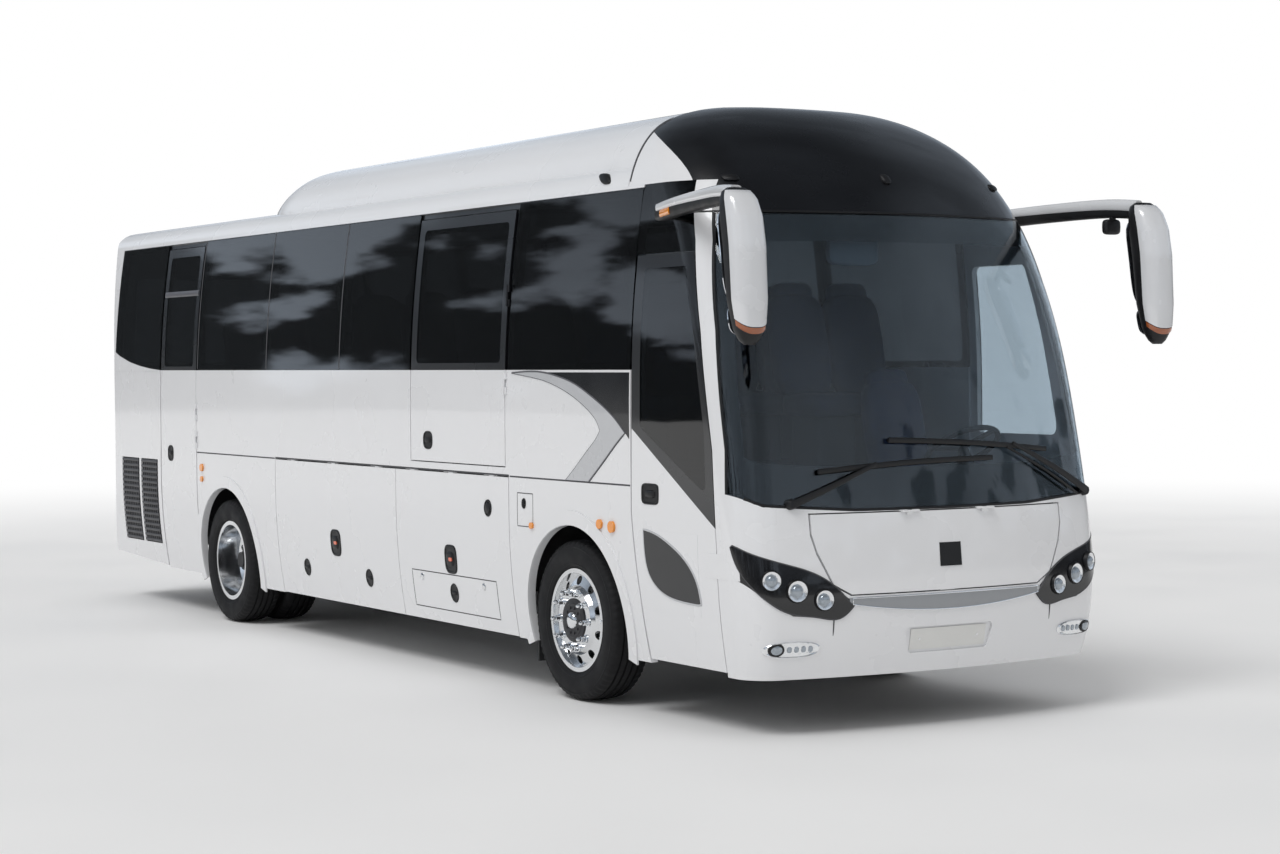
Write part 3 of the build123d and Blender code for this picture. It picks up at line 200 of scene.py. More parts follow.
nut_side = ((-0.002, 0), (-0.002, 0.0245), (0.007, 0.0245), (0.009, 0.019), (0.036, 0.017), (0.038, 0.0135),
            (0.056, 0.013), (0.063, 0.009), (0.066, 0))
bolt_side = ((0.01, 0), (0.01, 0.0095), (0.02, 0.0095), (0.022, 0.007), (0.022, 0))
front_hub = ((-0.002, 0), (-0.002, 0.132), (0.007, 0.13), (0.01, 0.104), (0.014, 0.1), (0.014, 0))
rear_hub = ((-0.002, 0), (-0.002, 0.137), (0.05, 0.131), (0.062, 0.122), (0.07, 0.104), (0.128, 0.098),
            (0.14, 0.086), (0.142, 0))
cap_side = ((0.008, 0), (0.008, 0.052), (0.024, 0.049), (0.032, 0.04), (0.036, 0.02), (0.037, 0))
for end, side in (("left", 1), ("right", -1)):
    low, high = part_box("front_rim_" + end)
    face = np.array((side * max(abs(low.x), abs(high.x)), (low.y + high.y) / 2, (low.z + high.z) / 2))
    out = (side, 0, 0)
    bright = [turned(nut_side, at, out, 12) for at in circle(NUTS, NUT_RING, face)]
    bright += [turned(cap_side, face, out, 40)]
    piece("front_nuts_" + end, bright, "front_wheel_" + end, chrome)
    dull = [turned(front_hub, face, out, 48)]
    dull += [turned(bolt_side, at, out, 6) for at in circle(FRONT_BOLTS, FRONT_BOLT_RING, face)]
    piece("front_hub_" + end, dull, "front_wheel_" + end, hub_iron)
    low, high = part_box("rear_rims_" + end)
    face = np.array((side * REAR_DISC_X, (low.y + high.y) / 2, (low.z + high.z) / 2))
    bright = [turned(nut_side, at, out, 12) for at in circle(NUTS, NUT_RING, face)]
    piece("rear_nuts_" + end, bright, "rear_wheels_" + end, chrome)
    tips = circle(REAR_BOLTS, REAR_BOLT_RING, face + np.array(out) * REAR_BOLT_OUT)
    dull = [turned(rear_hub, face, out, 48)] + [turned(bolt_side, at, out, 6) for at in tips]
    piece("rear_hub_" + end, dull, "rear_wheels_" + end, hub_iron)

# Floor, steps, luggage bay and dashboard. Grey studded floor covering, sheet metal lining in the bay, and a
# dashboard of grained plastic.
floor_covering = finish("floor_covering", (0.13, 0.135, 0.145), 0.7, 0.2, 8, 0.0006, 220)
dress(floor_covering, "floor_deck", "entrance_steps")
dress(finish("bay_sheet", (0.5, 0.51, 0.52), 0.38, 0.12, 5, 0.0002, 80, metallic=0.8), "luggage_bay")
dash_plastic = finish("dash_plastic", (0.055, 0.057, 0.062), 0.6, 0.15, 5, 0.0005, 600)
dress(dash_plastic, "dashboard")

# Seats. Pairs of reclining seats with foam cushions, backs and head rests under dark blue cloth, on grey
# steel stands bolted to the deck. The driver's seat stands on the cab platform.
ROWS, PITCH, FIRST_S, DECK_Z = 9, 0.8, -0.42, 1.36
SEAT_X = (0.465, 0.895, -0.465, -0.895)
LAST_RIGHT_S = 5.9
DRIVER = (0.56, -1.28, 0.82)
cloth = finish("seat_cloth", (0.035, 0.05, 0.11), 0.85, 0.3, 30, 0.0008, 900, sheen_weight=0.05)


def fuller(wave, power):
    """Cosine or sine raised to a power with its sign kept: a power below 1 squares a round form."""
    return np.sign(wave) * np.abs(wave) ** power


def pillow(centre, size, power=0.5, lean=0.0, rows=11, cols=20):
    """Crowned pad: an ellipsoid whose cosines and sines are raised to a power, so that its faces are full and
    its edges round, leaned about X."""
    rise = np.linspace(-pi / 2, pi / 2, rows)[:, None]
    turn = np.linspace(0, 2 * pi, cols, endpoint=False)[None]
    ring = fuller(np.cos(rise), power)
    height = fuller(np.sin(rise), power) + 0 * turn
    points = np.stack([ring * fuller(np.cos(turn), power), ring * fuller(np.sin(turn), power), height], -1)
    points[[0, -1], :, :2] = 0
    leaned = np.array(((1, 0, 0), (0, cos(lean), -sin(lean)), (0, sin(lean), cos(lean))))
    return lattice(points * np.array(size) / 2 @ leaned.T + np.array(centre), wrap_v=True)


seat_rows = FIRST_S + PITCH * np.arange(ROWS)
places = [(x, s, DECK_Z) for s in seat_rows for x in SEAT_X if x > 0 or s < LAST_RIGHT_S]
places += [DRIVER]
pads = []
stands = []
for x, s, z in places:
    at = np.array((x, s + AXLE_Y, z))
    pads += [pillow(at + (0, 0.21, 0.375), (0.42, 0.45, 0.15))]
    pads += [pillow(at + (0, 0.47, 0.74), (0.42, 0.12, 0.66), 0.45, -0.22)]
    pads += [pillow(at + (0, 0.548, 1.04), (0.3, 0.09, 0.19), 0.5, -0.2)]
    stands += [pillow(at + (0, 0.21, 0.15), (0.3, 0.3, 0.32), 0.2)]
seats = piece("seat_pads", pads, "coach", cloth, 60)
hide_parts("seats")
piece("seat_stands", stands, "coach", dash_plastic)

# Body skin. Steel and moulded panels in gloss pearl white under clear lacquer. The wall behind the glass, the
# glass band of the doors and the front of the dome are painted black with a sharp edge.
PEARL = (0.78, 0.785, 0.8)
BLACK = (0.004, 0.0042, 0.0055)
GLASS_FOOT = 1.962
GLASS_MIDDLE, GLASS_HALF = 2.478, 0.516
SLANT, SLANT_LEVEL = -0.606, 3.877
MASK_RISE, MASK_BOW, MASK_MIDDLE, MASK_LEVEL = 0.182, 2.656, 2.866, 4.6976


def lacquer(name):
    """Gloss pearl paint: hardly any tone or grain, under a clear coat."""
    return finish(name, PEARL, 0.28, 0.025, 1.2, 0.00002, 1200, coat_weight=0.6, coat_roughness=0.05)


def maths(tree, operation, *terms):
    """Output of one sum of a shader: the terms are numbers or other outputs."""
    return node(tree, "Math", dict(enumerate(terms)), operation=operation).outputs[0]


def parted(paint, colour, weight, bow, level):
    """Second colour on a part of a finish: where weight * y + weight * z + bow * square of
    (z - bow height) is above level."""
    tree = paint.node_tree
    base = tree.nodes["Principled BSDF"].inputs["Base Color"]
    place = node(tree, "TexCoord").outputs["Object"]
    split = node(tree, "SeparateXYZ", {0: place})
    y, z = split.outputs["Y"], split.outputs["Z"]
    rise = maths(tree, "SUBTRACT", z, bow[1])
    bowed = maths(tree, "MULTIPLY", maths(tree, "MULTIPLY", rise, rise), bow[0])
    plane = maths(tree, "ADD", maths(tree, "MULTIPLY", y, weight[0]), maths(tree, "MULTIPLY", z, weight[1]))
    inside = maths(tree, "GREATER_THAN", maths(tree, "ADD", plane, bowed), level)
    old = base.links[0].from_socket
    mix = node(tree, "Mix", {0: inside, 6: old, 7: colour + (1,)}, data_type="RGBA")
    tree.links.new(mix.outputs[2], base)
    return paint


pearl = lacquer("pearl_white")
dress(pearl, "lower_panels_right", "lower_panels_left", "roof", "ac_fairing", "cab_sides", "front_bumper",
      "rear_wall", "rear_bumper", "front_flap", "engine_lid", "luggage_door_right_front",
      "luggage_door_right_rear", "luggage_door_left_front", "luggage_door_left_rear")
mask_black = finish("mask_black", BLACK, 0.2, 0.2, 2, 0.00001, 1000, coat_weight=0.3, coat_roughness=0.03)
banded = parted(lacquer("pearl_and_band"), BLACK, (0.0, 1.0), (0.0, 0.0), GLASS_FOOT)
dress(banded, "emergency_door", "rear_door")
slanted = parted(lacquer("pearl_and_slant"), BLACK, (SLANT, 1.0), (0.0, 0.0), SLANT_LEVEL)
dress(slanted, "entrance_door")
masked = parted(lacquer("pearl_and_mask"), BLACK, (-1.0, MASK_RISE), (MASK_BOW, MASK_MIDDLE), MASK_LEVEL)
dress(masked, "front_dome")
rebated = parted(lacquer("pearl_and_rebate"), BLACK, (0.0, 0.0), (-1.0, GLASS_MIDDLE), -GLASS_HALF**2)
dress(rebated, "side_wall_right", "side_wall_left")

# Sweep behind the front door. A pale grey moulding that hooks forward under the first window and runs down to
# the hatch line, with a thin dark edge, and gloss black over it. Both are films on the side wall.
silver_film = finish("silver_film", (0.5, 0.51, 0.53), 0.3, 0.05, 3, 0.00002, 900, coat_weight=0.6)
HALF_W, LOW_R, LOW_Z, HIGH_R, HIGH_Z = 1.25, 4.5, 1.1, 8.2, 1.7
edge_grey = finish("edge_grey", (0.09, 0.09, 0.1), 0.4, 0.15, 8, 0.00005, 700)


def half_width(z):
    """Half width of the body at a height: a wide arc below, upright in the middle, and a wider arc above."""
    low = HALF_W - LOW_R + np.sqrt(LOW_R**2 - np.clip(LOW_Z - z, 0, None) ** 2)
    high = HALF_W - HIGH_R + np.sqrt(HIGH_R**2 - np.clip(z - HIGH_Z, 0, None) ** 2)
    return np.minimum(low, high)


def right(s, z, out):
    """Point of the right flank at a station and height, moved out."""
    return np.stack([-half_width(z) - out, s + AXLE_Y, z + 0 * s], -1)


def left(s, z, out):
    """Point of the left flank at a station and height, moved out."""
    return np.stack([half_width(z) + out, s + AXLE_Y, z + 0 * s], -1)


def curve(points, count=24):
    """Points evenly along a natural cubic spline: the second slopes solve the three term equations, and each
    span is the cubic through its ends with those slopes."""
    values = np.array(points, float)
    knots = np.concatenate([[0], np.cumsum(np.linalg.norm(np.diff(values, axis=0), axis=1))])
    at = np.linspace(0, knots[-1], count)
    gap = np.diff(knots)
    inner = np.arange(1, len(knots) - 1)
    system = np.eye(len(knots))
    system[inner, inner - 1] = gap[:-1]
    system[inner, inner] = 2 * (gap[:-1] + gap[1:])
    system[inner, inner + 1] = gap[1:]
    wanted = np.zeros_like(values)
    wanted[1:-1] = 6 * np.diff(np.diff(values, axis=0) / gap[:, None], axis=0)
    bend = np.linalg.solve(system, wanted)
    i = np.clip(np.searchsorted(knots, at) - 1, 0, len(gap) - 1)
    a, b, w = (at - knots[i])[:, None], (knots[i + 1] - at)[:, None], gap[i][:, None]
    start = (values[i] / w - bend[i] * w / 6) * b + (values[i + 1] / w - bend[i + 1] * w / 6) * a
    return start + (bend[i] * b**3 + bend[i + 1] * a**3) / (6 * w)


def walled(top, foot):
    """Closed thin shell: two like grids and the four rims that join their edges."""
    ends = [np.stack([top[k], foot[k]]) for k in (0, -1)]
    sides = [np.stack([top[:, k], foot[:, k]]) for k in (0, -1)]
    return [lattice(grid) for grid in (top, foot, *ends, *sides)]


def slab(low, high, surface, lift=0.003, depth=0.005, rows=8):
    """Thin slab on a surface between two edges of as many points. Its rows go straight from one edge to the
    other, its top lies lift above the surface and its foot depth below that."""
    share = np.linspace(0, 1, rows)[:, None, None]
    flat = (1 - share) * np.array(low) + share * np.array(high)
    along, up = flat[..., 0], flat[..., 1]
    return walled(*[surface(along, up, out + 0 * up) for out in (lift, lift - depth)])


def strip(path, surface, width=0.008, height=0.002, closed=False):
    """Low round bead along a path on a surface: across the path it rises to its height and falls again."""
    path = np.array(path, float)
    along = np.roll(path, -1, 0) - np.roll(path, 1, 0) if closed else np.gradient(path, axis=0)
    along /= np.linalg.norm(along, axis=1)[:, None]
    across = np.stack([-along[:, 1], along[:, 0]], -1)[:, None]
    shift = np.array((-0.5, -0.5, -0.3, 0, 0.3, 0.5, 0.5))[None, :, None] * width
    out = np.array((-0.004, 0, 0.8 * height, height, 0.8 * height, 0, -0.004))[None]
    if not closed:
        path = np.vstack([path[:1], path, path[-1:]])
        across = np.concatenate([0 * across[:1], across, 0 * across[-1:]])
    flat = path[:, None] + shift * across
    return lattice(surface(flat[..., 0], flat[..., 1], out + 0 * flat[..., 0]), closed, True)


outer = curve(((0.667, 1.944), (0.314, 1.95), (0.07, 1.92), (-0.11, 1.88), (-0.285, 1.817), (-0.456, 1.744),
               (-0.579, 1.677), (-0.645, 1.63), (-0.68, 1.605)), 40)
inner_edge = curve(((0.667, 1.942), (0.438, 1.92), (0.251, 1.896), (0.068, 1.855), (-0.111, 1.798),
                    (-0.285, 1.718), (-0.37, 1.655), (-0.398, 1.612)), 40)
outer_leg = curve(((-0.68, 1.605), (-0.599, 1.552), (-0.453, 1.445), (-0.326, 1.354), (-0.27, 1.314)), 20)
inner_leg = curve(((-0.398, 1.612), (-0.364, 1.575), (-0.259, 1.497), (-0.106, 1.387), (0.002, 1.314)), 20)
SHADE_TOP, SHADE_TIP = 1.948, (-0.722, 1.572)
shade_low = np.vstack([outer[8:], SHADE_TIP])
shade_high = np.stack([shade_low[:, 0], 0 * shade_low[:, 0] + SHADE_TOP], -1)
for end, surface in (("right", right), ("left", left)):
    hook = slab(inner_edge, outer, surface) + slab(inner_leg, outer_leg, surface)
    piece("sweep_" + end, hook, "coach", silver_film)
    edges = [strip(np.vstack([outer, outer_leg[1:]]), surface, 0.012, 0.005)]
    edges += [strip(np.vstack([inner_edge, inner_leg[1:]]), surface, 0.006, 0.004)]
    piece("sweep_edge_" + end, edges, "coach", edge_grey)
    piece("shade_" + end, slab(shade_low, shade_high, surface, 0.002), "coach", mask_black)

# Arch lips and rear sill. Pressed lips stand out round the wheel arches, and the skin sweeps up over the
# lower edge of the last side pane. Both are part of the painted skin.
ARCH_R, ARCH_Z, LIP = 0.575, 0.471, 0.09
ARCH_S = (-0.045, 5.36)
SILL_Z = 1.955
lip_turn = np.linspace(-0.29, pi + 0.29, 60)
ring = np.stack([np.cos(lip_turn), np.sin(lip_turn)], -1)
rise_s = np.linspace(6.77, 7.855, 30)
rise = np.interp(rise_s, (6.765, 7.0, 7.24, 7.5, 7.75, 7.861), (0, 0.014, 0.035, 0.07, 0.122, 0.155))
sill_low = np.stack([rise_s, 0 * rise_s + SILL_Z], -1)
sill_high = sill_low + np.stack([0 * rise, rise + 0.008], -1)
for end, surface in (("right", right), ("left", left)):
    lips = []
    for s in ARCH_S:
        inside, outside = [(s, ARCH_Z) + ring * (ARCH_R + more) for more in (0.002, LIP)]
        lips += slab(inside, outside, surface, 0.008, 0.012)
    piece("arch_lips_" + end, lips, "coach", pearl, 50)
    piece("rear_sill_" + end, slab(sill_low, sill_high, surface, 0.003), "coach", pearl)

# Joint lines. Dark sealant between the window panes, along the hatch line and round the small flaps in the
# skirt, pressed flush in the joints, and the dark bar that parts the rear door's window.
seam_grey = finish("seam_grey", (0.06, 0.06, 0.065), 0.6, 0.2, 10, 0.0001, 600)
PANE_LINES = {"right": (3.22, 4.53, 5.925), "left": (0.72, 2.09, 3.22, 4.53, 5.925, 6.765)}
PANE_FOOT, PANE_TOP = 1.97, 2.985
HATCH_LINES = (((-0.73, 1.3085), (0.7, 1.3085), 16), ((4.37, 1.3085), (5.94, 1.3085), 16),
               ((0.72, 1.313), (4.35, 1.313), 40))


def line(a, b, count=16):
    """Points evenly from a to b."""
    return np.linspace(a, b, count)


def frame_of(s0, s1, z0, z1):
    """Points round a rectangle, each side without its last."""
    corners = ((s0, z0), (s1, z0), (s1, z1), (s0, z1), (s0, z0))
    return np.vstack([line(a, b)[:-1] for a, b in zip(corners, corners[1:])])


for end, surface in (("right", right), ("left", left)):
    seams = [strip(line((s, PANE_FOOT), (s, PANE_TOP), 24), surface, 0.016, 0.002) for s in PANE_LINES[end]]
    seams += [strip(line(*ends), surface, 0.01, 0.0015) for ends in HATCH_LINES]
    piece("wall_seams_" + end, seams, "coach", seam_grey)
bar = strip(line((5.985, 2.58), (6.725, 2.58)), right, 0.045, 0.005)
piece("rear_door_bar", [bar], "rear_door", edge_grey)
flap = strip(frame_of(0.41, 0.605, 1.01, 1.212), right, 0.006, 0.001, True)
piece("skirt_flap_seam", [flap], "coach", seam_grey)
flap = strip(frame_of(0.93, 2.12, 0.4, 0.64), right, 0.007, 0.001, True)
piece("access_flap_seam", [flap], "luggage_door_right_front", seam_grey)

# Handles and latches. Black plastic recess handles with a red reflector, round quarter turn latches, small
# chromed locks and a dark filler cap, all screwed into the door skins from behind.
satin_black = finish("satin_black", (0.01, 0.01, 0.011), 0.42, 0.25, 8, 0.0002, 700, specular_ior_level=0.35)
dress(satin_black, "door_arm")
reflector_red = finish("reflector_red", (0.75, 0.12, 0.04), 0.2, 0.2, 60, 0.0003, 300, coat_weight=1.0)


def button(surface, centre, size, profile, power=1.0, steps=32):
    """Rounded disc on a surface: rings of a profile (share of the size, lift) round a centre. Each ring is an
    ellipse, or with a power below 1 a squarer one."""
    angle = np.linspace(0, 2 * pi, steps, endpoint=False)
    ring = fuller(np.stack([np.cos(angle), np.sin(angle)], -1), power)
    share, lift = np.array(profile, float).T[..., None]
    flat = np.array(centre) + share[..., None] * ring * np.array(size)
    return lattice(surface(flat[..., 0], flat[..., 1], lift + 0 * flat[..., 0]), wrap_v=True)


dish = ((0, -0.004), (1.08, -0.004), (1.08, 0.002), (1.02, 0.006), (0.94, 0.006), (0.88, 0.001), (0, 0.001))
dome = ((0, -0.004), (1.0, -0.004), (1.0, 0.002), (0.9, 0.007), (0.6, 0.01), (0, 0.011))
stud = ((0, 0.004), (1, 0.004), (1, 0.013), (0, 0.0135))
HANDLE_Z = 0.742
doors = {"luggage_door_right_front": (right, 1.532, ((1.525, 0.523),)),
         "luggage_door_right_rear": (right, 3.318, ((3.861, 0.532), (2.808, 0.528))),
         "luggage_door_left_front": (left, 1.532, ((2.1, 0.53), (0.95, 0.53))),
         "luggage_door_left_rear": (left, 3.318, ((3.861, 0.532), (2.808, 0.528)))}
for body, (surface, s, latches) in doors.items():
    dark = [button(surface, (s, HANDLE_Z), (0.078, 0.088), dish, 0.55)]
    dark += [button(surface, (s + 0.01, HANDLE_Z), (0.05, 0.05), dome, 0.6)]
    dark += [button(surface, at, (0.05, 0.058), dish) for at in latches]
    dark += [button(surface, at, (0.036, 0.012), dome, 0.6) for at in latches]
    piece(body + "_handle", dark, body, satin_black)
    red = button(surface, (s - 0.01, HANDLE_Z), (0.022, 0.012), stud, 0.5)
    piece(body + "_reflector", [red], body, reflector_red)
locks = [button(right, at, (0.02, 0.024), dome) for at in ((1.97, 0.6), (1.1, 0.595))]
piece("access_locks", locks, "luggage_door_right_front", chrome)
fittings = {"filler_cap": ("luggage_door_right_front", (0.989, 1.1), (0.045, 0.05), 1.0, (0.034, 0.038), 1.0),
            "skirt_flap_latch": ("coach", (0.52, 1.15), (0.022, 0.03), 1.0, (0.012, 0.022), 1.0),
            "emergency_handle": ("emergency_door", (1.82, 1.505), (0.06, 0.055), 0.7, (0.04, 0.018), 0.5),
            "rear_door_handle": ("rear_door", (6.522, 1.286), (0.055, 0.06), 0.7, (0.034, 0.02), 0.5),
            "entrance_lock": ("entrance_door", (-0.945, 1.27), (0.085, 0.055), 0.4, (0.05, 0.022), 0.5)}
for name, (body, at, plate, plate_power, grip, grip_power) in fittings.items():
    dark = [button(right, at, plate, dish, plate_power), button(right, at, grip, dome, grip_power)]
    piece(name, dark, body, satin_black)

# Door port. A leaf shaped pane low in the entrance door, in dark glass, bonded over a painted panel, with a
# thin pale lip pressed round it.
port_top = curve(((-0.872, 1.068), (-0.95, 1.06), (-1.15, 1.0), (-1.33, 0.9), (-1.418, 0.79),
                  (-1.44, 0.69)), 30)
port_foot = curve(((-0.872, 1.068), (-0.882, 0.93), (-0.915, 0.825), (-0.994, 0.75), (-1.2, 0.693),
                   (-1.44, 0.684)), 30)
panel = line((-0.86, 0.62), (-1.43, 0.62), 16)
piece("port_panel", slab(panel, panel + (0, 0.45), right, 0.0015), "entrance_door", pearl)
piece("port_pane", slab(port_foot, port_top, right, 0.004), "entrance_door", mask_black)
port_edge = np.vstack([port_top, port_foot[::-1][1:-1]])
piece("port_lip", [strip(port_edge, right, 0.014, 0.006, True)], "entrance_door", silver_film)

# Glass. Dark tinted panes bonded flush to the sides and the rear, a clear driver's window ahead of them on
# the left, and a laminated windscreen with a light blue tint.
TINT = (0.05, 0.055, 0.06)
CAB_CLEAR, CAB_Y = (0.9, 0.93, 0.93), -3.66
tinted = finish("tinted_glass", TINT, 0.02, 0.1, 1, transmission_weight=1.0, ior=1.45)
dress(tinted, "side_glass_right", "rear_glass", "entrance_door_glass", "emergency_door_glass",
      "rear_door_glass")
cab_tint = finish("cab_glass", TINT, 0.02, 0.1, 1, transmission_weight=1.0, ior=1.45)
dress(parted(cab_tint, CAB_CLEAR, (-1.0, 0.0), (0.0, 0.0), -CAB_Y), "side_glass_left")
clear = finish("laminated_glass", (0.36, 0.44, 0.51), 0.02, 0.05, 1, transmission_weight=1.0, ior=1.45)
dress(clear, "windscreen")

# Windscreen edge. The pane is bonded in, with a black ceramic band along its edges inside and a rubber lip
# outside along the flap and the pillars.
NOSE = np.array(((0.31, -1.985, 5.0, 0.19), (0.56, -2.042, 5.0, 0.205), (0.9, -2.046, 4.7, 0.225),
                 (1.4, -1.985, 4.3, 0.26), (2.0, -1.876, 3.8, 0.31), (2.5, -1.74, 3.2, 0.36),
                 (2.8, -1.616, 2.75, 0.4), (3.03, -1.465, 2.4, 0.44), (3.23, -1.255, 2.1, 0.46),
                 (3.39, -1.0, 1.8, 0.47), (3.495, -0.66, 1.5, 0.44)))
DOME_Z = 2.8
DOME_WIDTH = np.array(((2.8, 1.1754), (3.03, 1.135), (3.23, 1.055), (3.39, 0.9), (3.495, 0.61)))


def section(z):
    """Plan section of the front end at a height: half width, nose station, nose and corner radius, the angle
    where the arcs meet and the corner's centre station."""
    fine = curve(NOSE, 400)
    front, big, small = [np.interp(z, fine[:, 0], fine[:, k]) for k in (1, 2, 3)]
    cap = curve(DOME_WIDTH, 200)
    width = np.where(z < DOME_Z, half_width(np.minimum(z, DOME_Z)), np.interp(z, cap[:, 0], cap[:, 1]))
    turn = np.arcsin((width - small) / (big - small))
    return width, front, big, small, turn, front + big - (big - small) * np.cos(turn)


def nose(u, z, out):
    """Point at the distance u round the plan section from its middle: the nose arc, the corner arc, then the
    straight flank, moved outwards by out."""
    width, front, big, small, turn, centre = section(z)
    away = np.abs(u)
    first = big * turn
    second = first + small * (pi / 2 - turn)
    on_nose = away <= first
    angle = np.where(on_nose, away / big, np.minimum(turn + (away - first) / small, pi / 2))
    x = np.where(on_nose, 0, width - small) + (np.where(on_nose, big, small) + out) * np.sin(angle)
    s = np.where(on_nose, front + big, centre) - (np.where(on_nose, big, small) + out) * np.cos(angle)
    return np.stack([np.sign(u) * x, s + np.clip(away - second, 0, None) + AXLE_Y, z + 0 * u], -1)


def from_x(x, z):
    """Distance round the plan section of the point of the front at x."""
    width, front, big, small, turn, centre = section(z)
    far = np.abs(x)
    corner = big * turn + small * (np.arcsin(np.clip((far - width + small) / small, -1, 1)) - turn)
    return np.sign(x) * np.where(far <= big * np.sin(turn), big * np.arcsin(np.clip(far / big, 0, 1)), corner)


def from_s(s, z):
    """Distance round the plan section of the point of a corner or flank at a station."""
    width, front, big, small, turn, centre = section(z)
    angle = np.arccos(np.clip((centre - s) / small, 0, 1))
    return big * turn + small * (angle - turn) + np.clip(s - centre, 0, None)


def ahead(x, z, out):
    """Point of the front at x and a height, moved out."""
    return nose(from_x(x, z), z, out)


BAND = {"lift": -0.018, "depth": 0.004}
BAND_FOOT, BAND_SIDE, BROW_LOW, BROW_HIGH = 0.23, 0.1, 2.66, 2.826
foot_x = np.linspace(-1.19, 1.19, 61)
foot_z = np.interp(np.abs(foot_x), (0, 0.6, 1.12, 1.3), (1.197, 1.2, 1.235, 1.33))
foot = np.stack([from_x(foot_x, foot_z), foot_z], -1)
pillar_z = np.linspace(1.3, 2.82, 40)
pillar_s = np.interp(pillar_z, (1.0, 1.53, 2.17, 2.67, 3.03), (-1.62, -1.58, -1.446, -1.3, -1.15)) - 0.1
pillars = [np.stack([side * from_s(pillar_s, pillar_z), pillar_z], -1) for side in (1, -1)]
brow = np.linspace(-1, 1, 41) * from_x(1.14, np.array(DOME_Z))
frit = slab(foot, foot + (0, BAND_FOOT), nose, **BAND)
for edge in pillars:
    frit += slab(edge, edge - np.sign(edge) * (BAND_SIDE, 0), nose, **BAND)
brow_low, brow_high = [np.stack([brow, 0 * brow + z], -1) for z in (BROW_LOW, BROW_HIGH)]
frit += slab(brow_low, brow_high, nose, **BAND)
piece("windscreen_band", frit, "coach", mask_black)
lips = [strip(foot + (0, 0.006), nose, 0.02, 0.004)]
lips += [strip(edge, nose, 0.018, 0.004) for edge in pillars]
lips += [strip(brow_high + (0, 0.002), nose, 0.012, 0.004)]
piece("windscreen_lip", lips, "coach", satin_black)

# Wipers. Two long blades parked low on the windscreen, each on a pressed steel arm that pivots at the lower
# corner on its own side, in black paint with rubber blades.


def sweep(path, width, height, power=0.7, steps=16):
    """Rounded section carried along a path: its width lies level and across the path, its height across both.
    Both may change along the path; the ends are closed."""
    path = np.array(path, float)
    along = np.gradient(path, axis=0)
    along /= np.linalg.norm(along, axis=1)[:, None]
    across = np.cross(along, (0, 0, 1.0))
    across /= np.linalg.norm(across, axis=1)[:, None]
    up = np.cross(across, along)
    angle = np.linspace(0, 2 * pi, steps, endpoint=False)
    ring = fuller(np.stack([np.cos(angle), np.sin(angle)], -1), power) / 2
    size = np.ones((len(path), 1)) * np.stack([width + 0 * path[:, 0], height + 0 * path[:, 0]], -1)
    size = np.vstack([0 * size[:1], size, 0 * size[-1:]])
    path, across, up = [np.vstack([row[:1], row, row[-1:]])[:, None] for row in (path, across, up)]
    wide, tall = [(ring[:, k] * size[:, k, None])[..., None] for k in (0, 1)]
    return lattice(path + across * wide + up * tall, wrap_v=True)


def laid(points, count, out):
    """Spline over the front through (x, z) points, out above the surface."""
    flat = curve(points, count)
    return ahead(flat[:, 0], flat[:, 1], out + 0 * flat[:, 0])


right_wiper = ((-0.8, 1.415), (-0.2, 1.455), (0.34, 1.465)), ((-0.968, 1.245), (-0.75, 1.33), (-0.46, 1.45))
left_wiper = ((-0.36, 1.575), (0.2, 1.55), (0.78, 1.5)), ((1.11, 1.25), (0.86, 1.38), (0.5, 1.54))
pivot_side = ((-0.004, 0), (-0.004, 0.03), (0.03, 0.028), (0.04, 0.02), (0.042, 0))
wiper_parts = []
for blade, arm in (right_wiper, left_wiper):
    wiper_parts += [sweep(laid(blade, 30, 0.02), 0.016, 0.03), sweep(laid(blade, 30, 0.009), 0.006, 0.012)]
    wiper_parts += [sweep(laid(arm, 24, 0.034), 0.014, np.linspace(0.045, 0.022, 24))]
    hub = ahead(np.array(arm[0][0]), np.array(arm[0][1]), np.array(0.0))
    wiper_parts += [turned(pivot_side, hub, (0, -1, 0.15), 20)]
wiper_parts += [sweep(laid(((1.02, 1.24), (0.8, 1.36), (0.46, 1.52)), 24, 0.026), 0.01, 0.014)]
wiper = piece("wiper_set", wiper_parts, "coach", satin_black)
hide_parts("wipers")

# Head and fog lamps. A black housing in the wing with three round units in chromed bowls behind domed lenses,
# and a chromed oval below in the bumper with a round lens at its outer end.
lamp_black = finish("lamp_black", (0.006, 0.006, 0.007), 0.15, 0.2, 8, 0.00001, 900, coat_weight=0.4)
dress(lamp_black, "front_lamps")
lens = finish("lamp_lens", (0.34, 0.38, 0.42), 0.04, 0.3, 90, 0.0006, 220, metallic=0.5, coat_weight=1.0)
reflector = finish("lamp_reflector", (0.86, 0.87, 0.88), 0.16, 0.1, 40, 0.0006, 160, metallic=0.85)
UNITS = ((1.103, 0.847, 0.05), (0.966, 0.788, 0.056), (0.812, 0.736, 0.052))
FOG_X, FOG_Z, FOG_SIZE = 0.978, 0.476, (0.155, 0.043)
FOG_LENS, DIODE_FROM, DIODE_STEP, DIODES = 0.09, -0.1, 0.04, 4
WING_Z, WING_TALL, WING_S = 0.842, 0.135, -1.49
bowl_side = ((-0.01, 0), (-0.01, 1.0), (0.016, 1.0), (0.016, 0.95), (0.007, 0.64), (0.006, 0.6), (0.006, 0))
lens_side = ((0.003, 0), (0.003, 0.62), (0.012, 0.6), (0.02, 0.46), (0.0245, 0.25), (0.026, 0))
ring_side = ((-0.004, 1.16), (0.012, 1.12), (0.018, 1.06), (0.018, 1.0), (0.008, 0.98), (-0.004, 1.0),
             (-0.004, 1.16))
oval = ((0, -0.003), (1, -0.003), (1, 0.01), (0.93, 0.015), (0.86, 0.011), (0, 0.011))
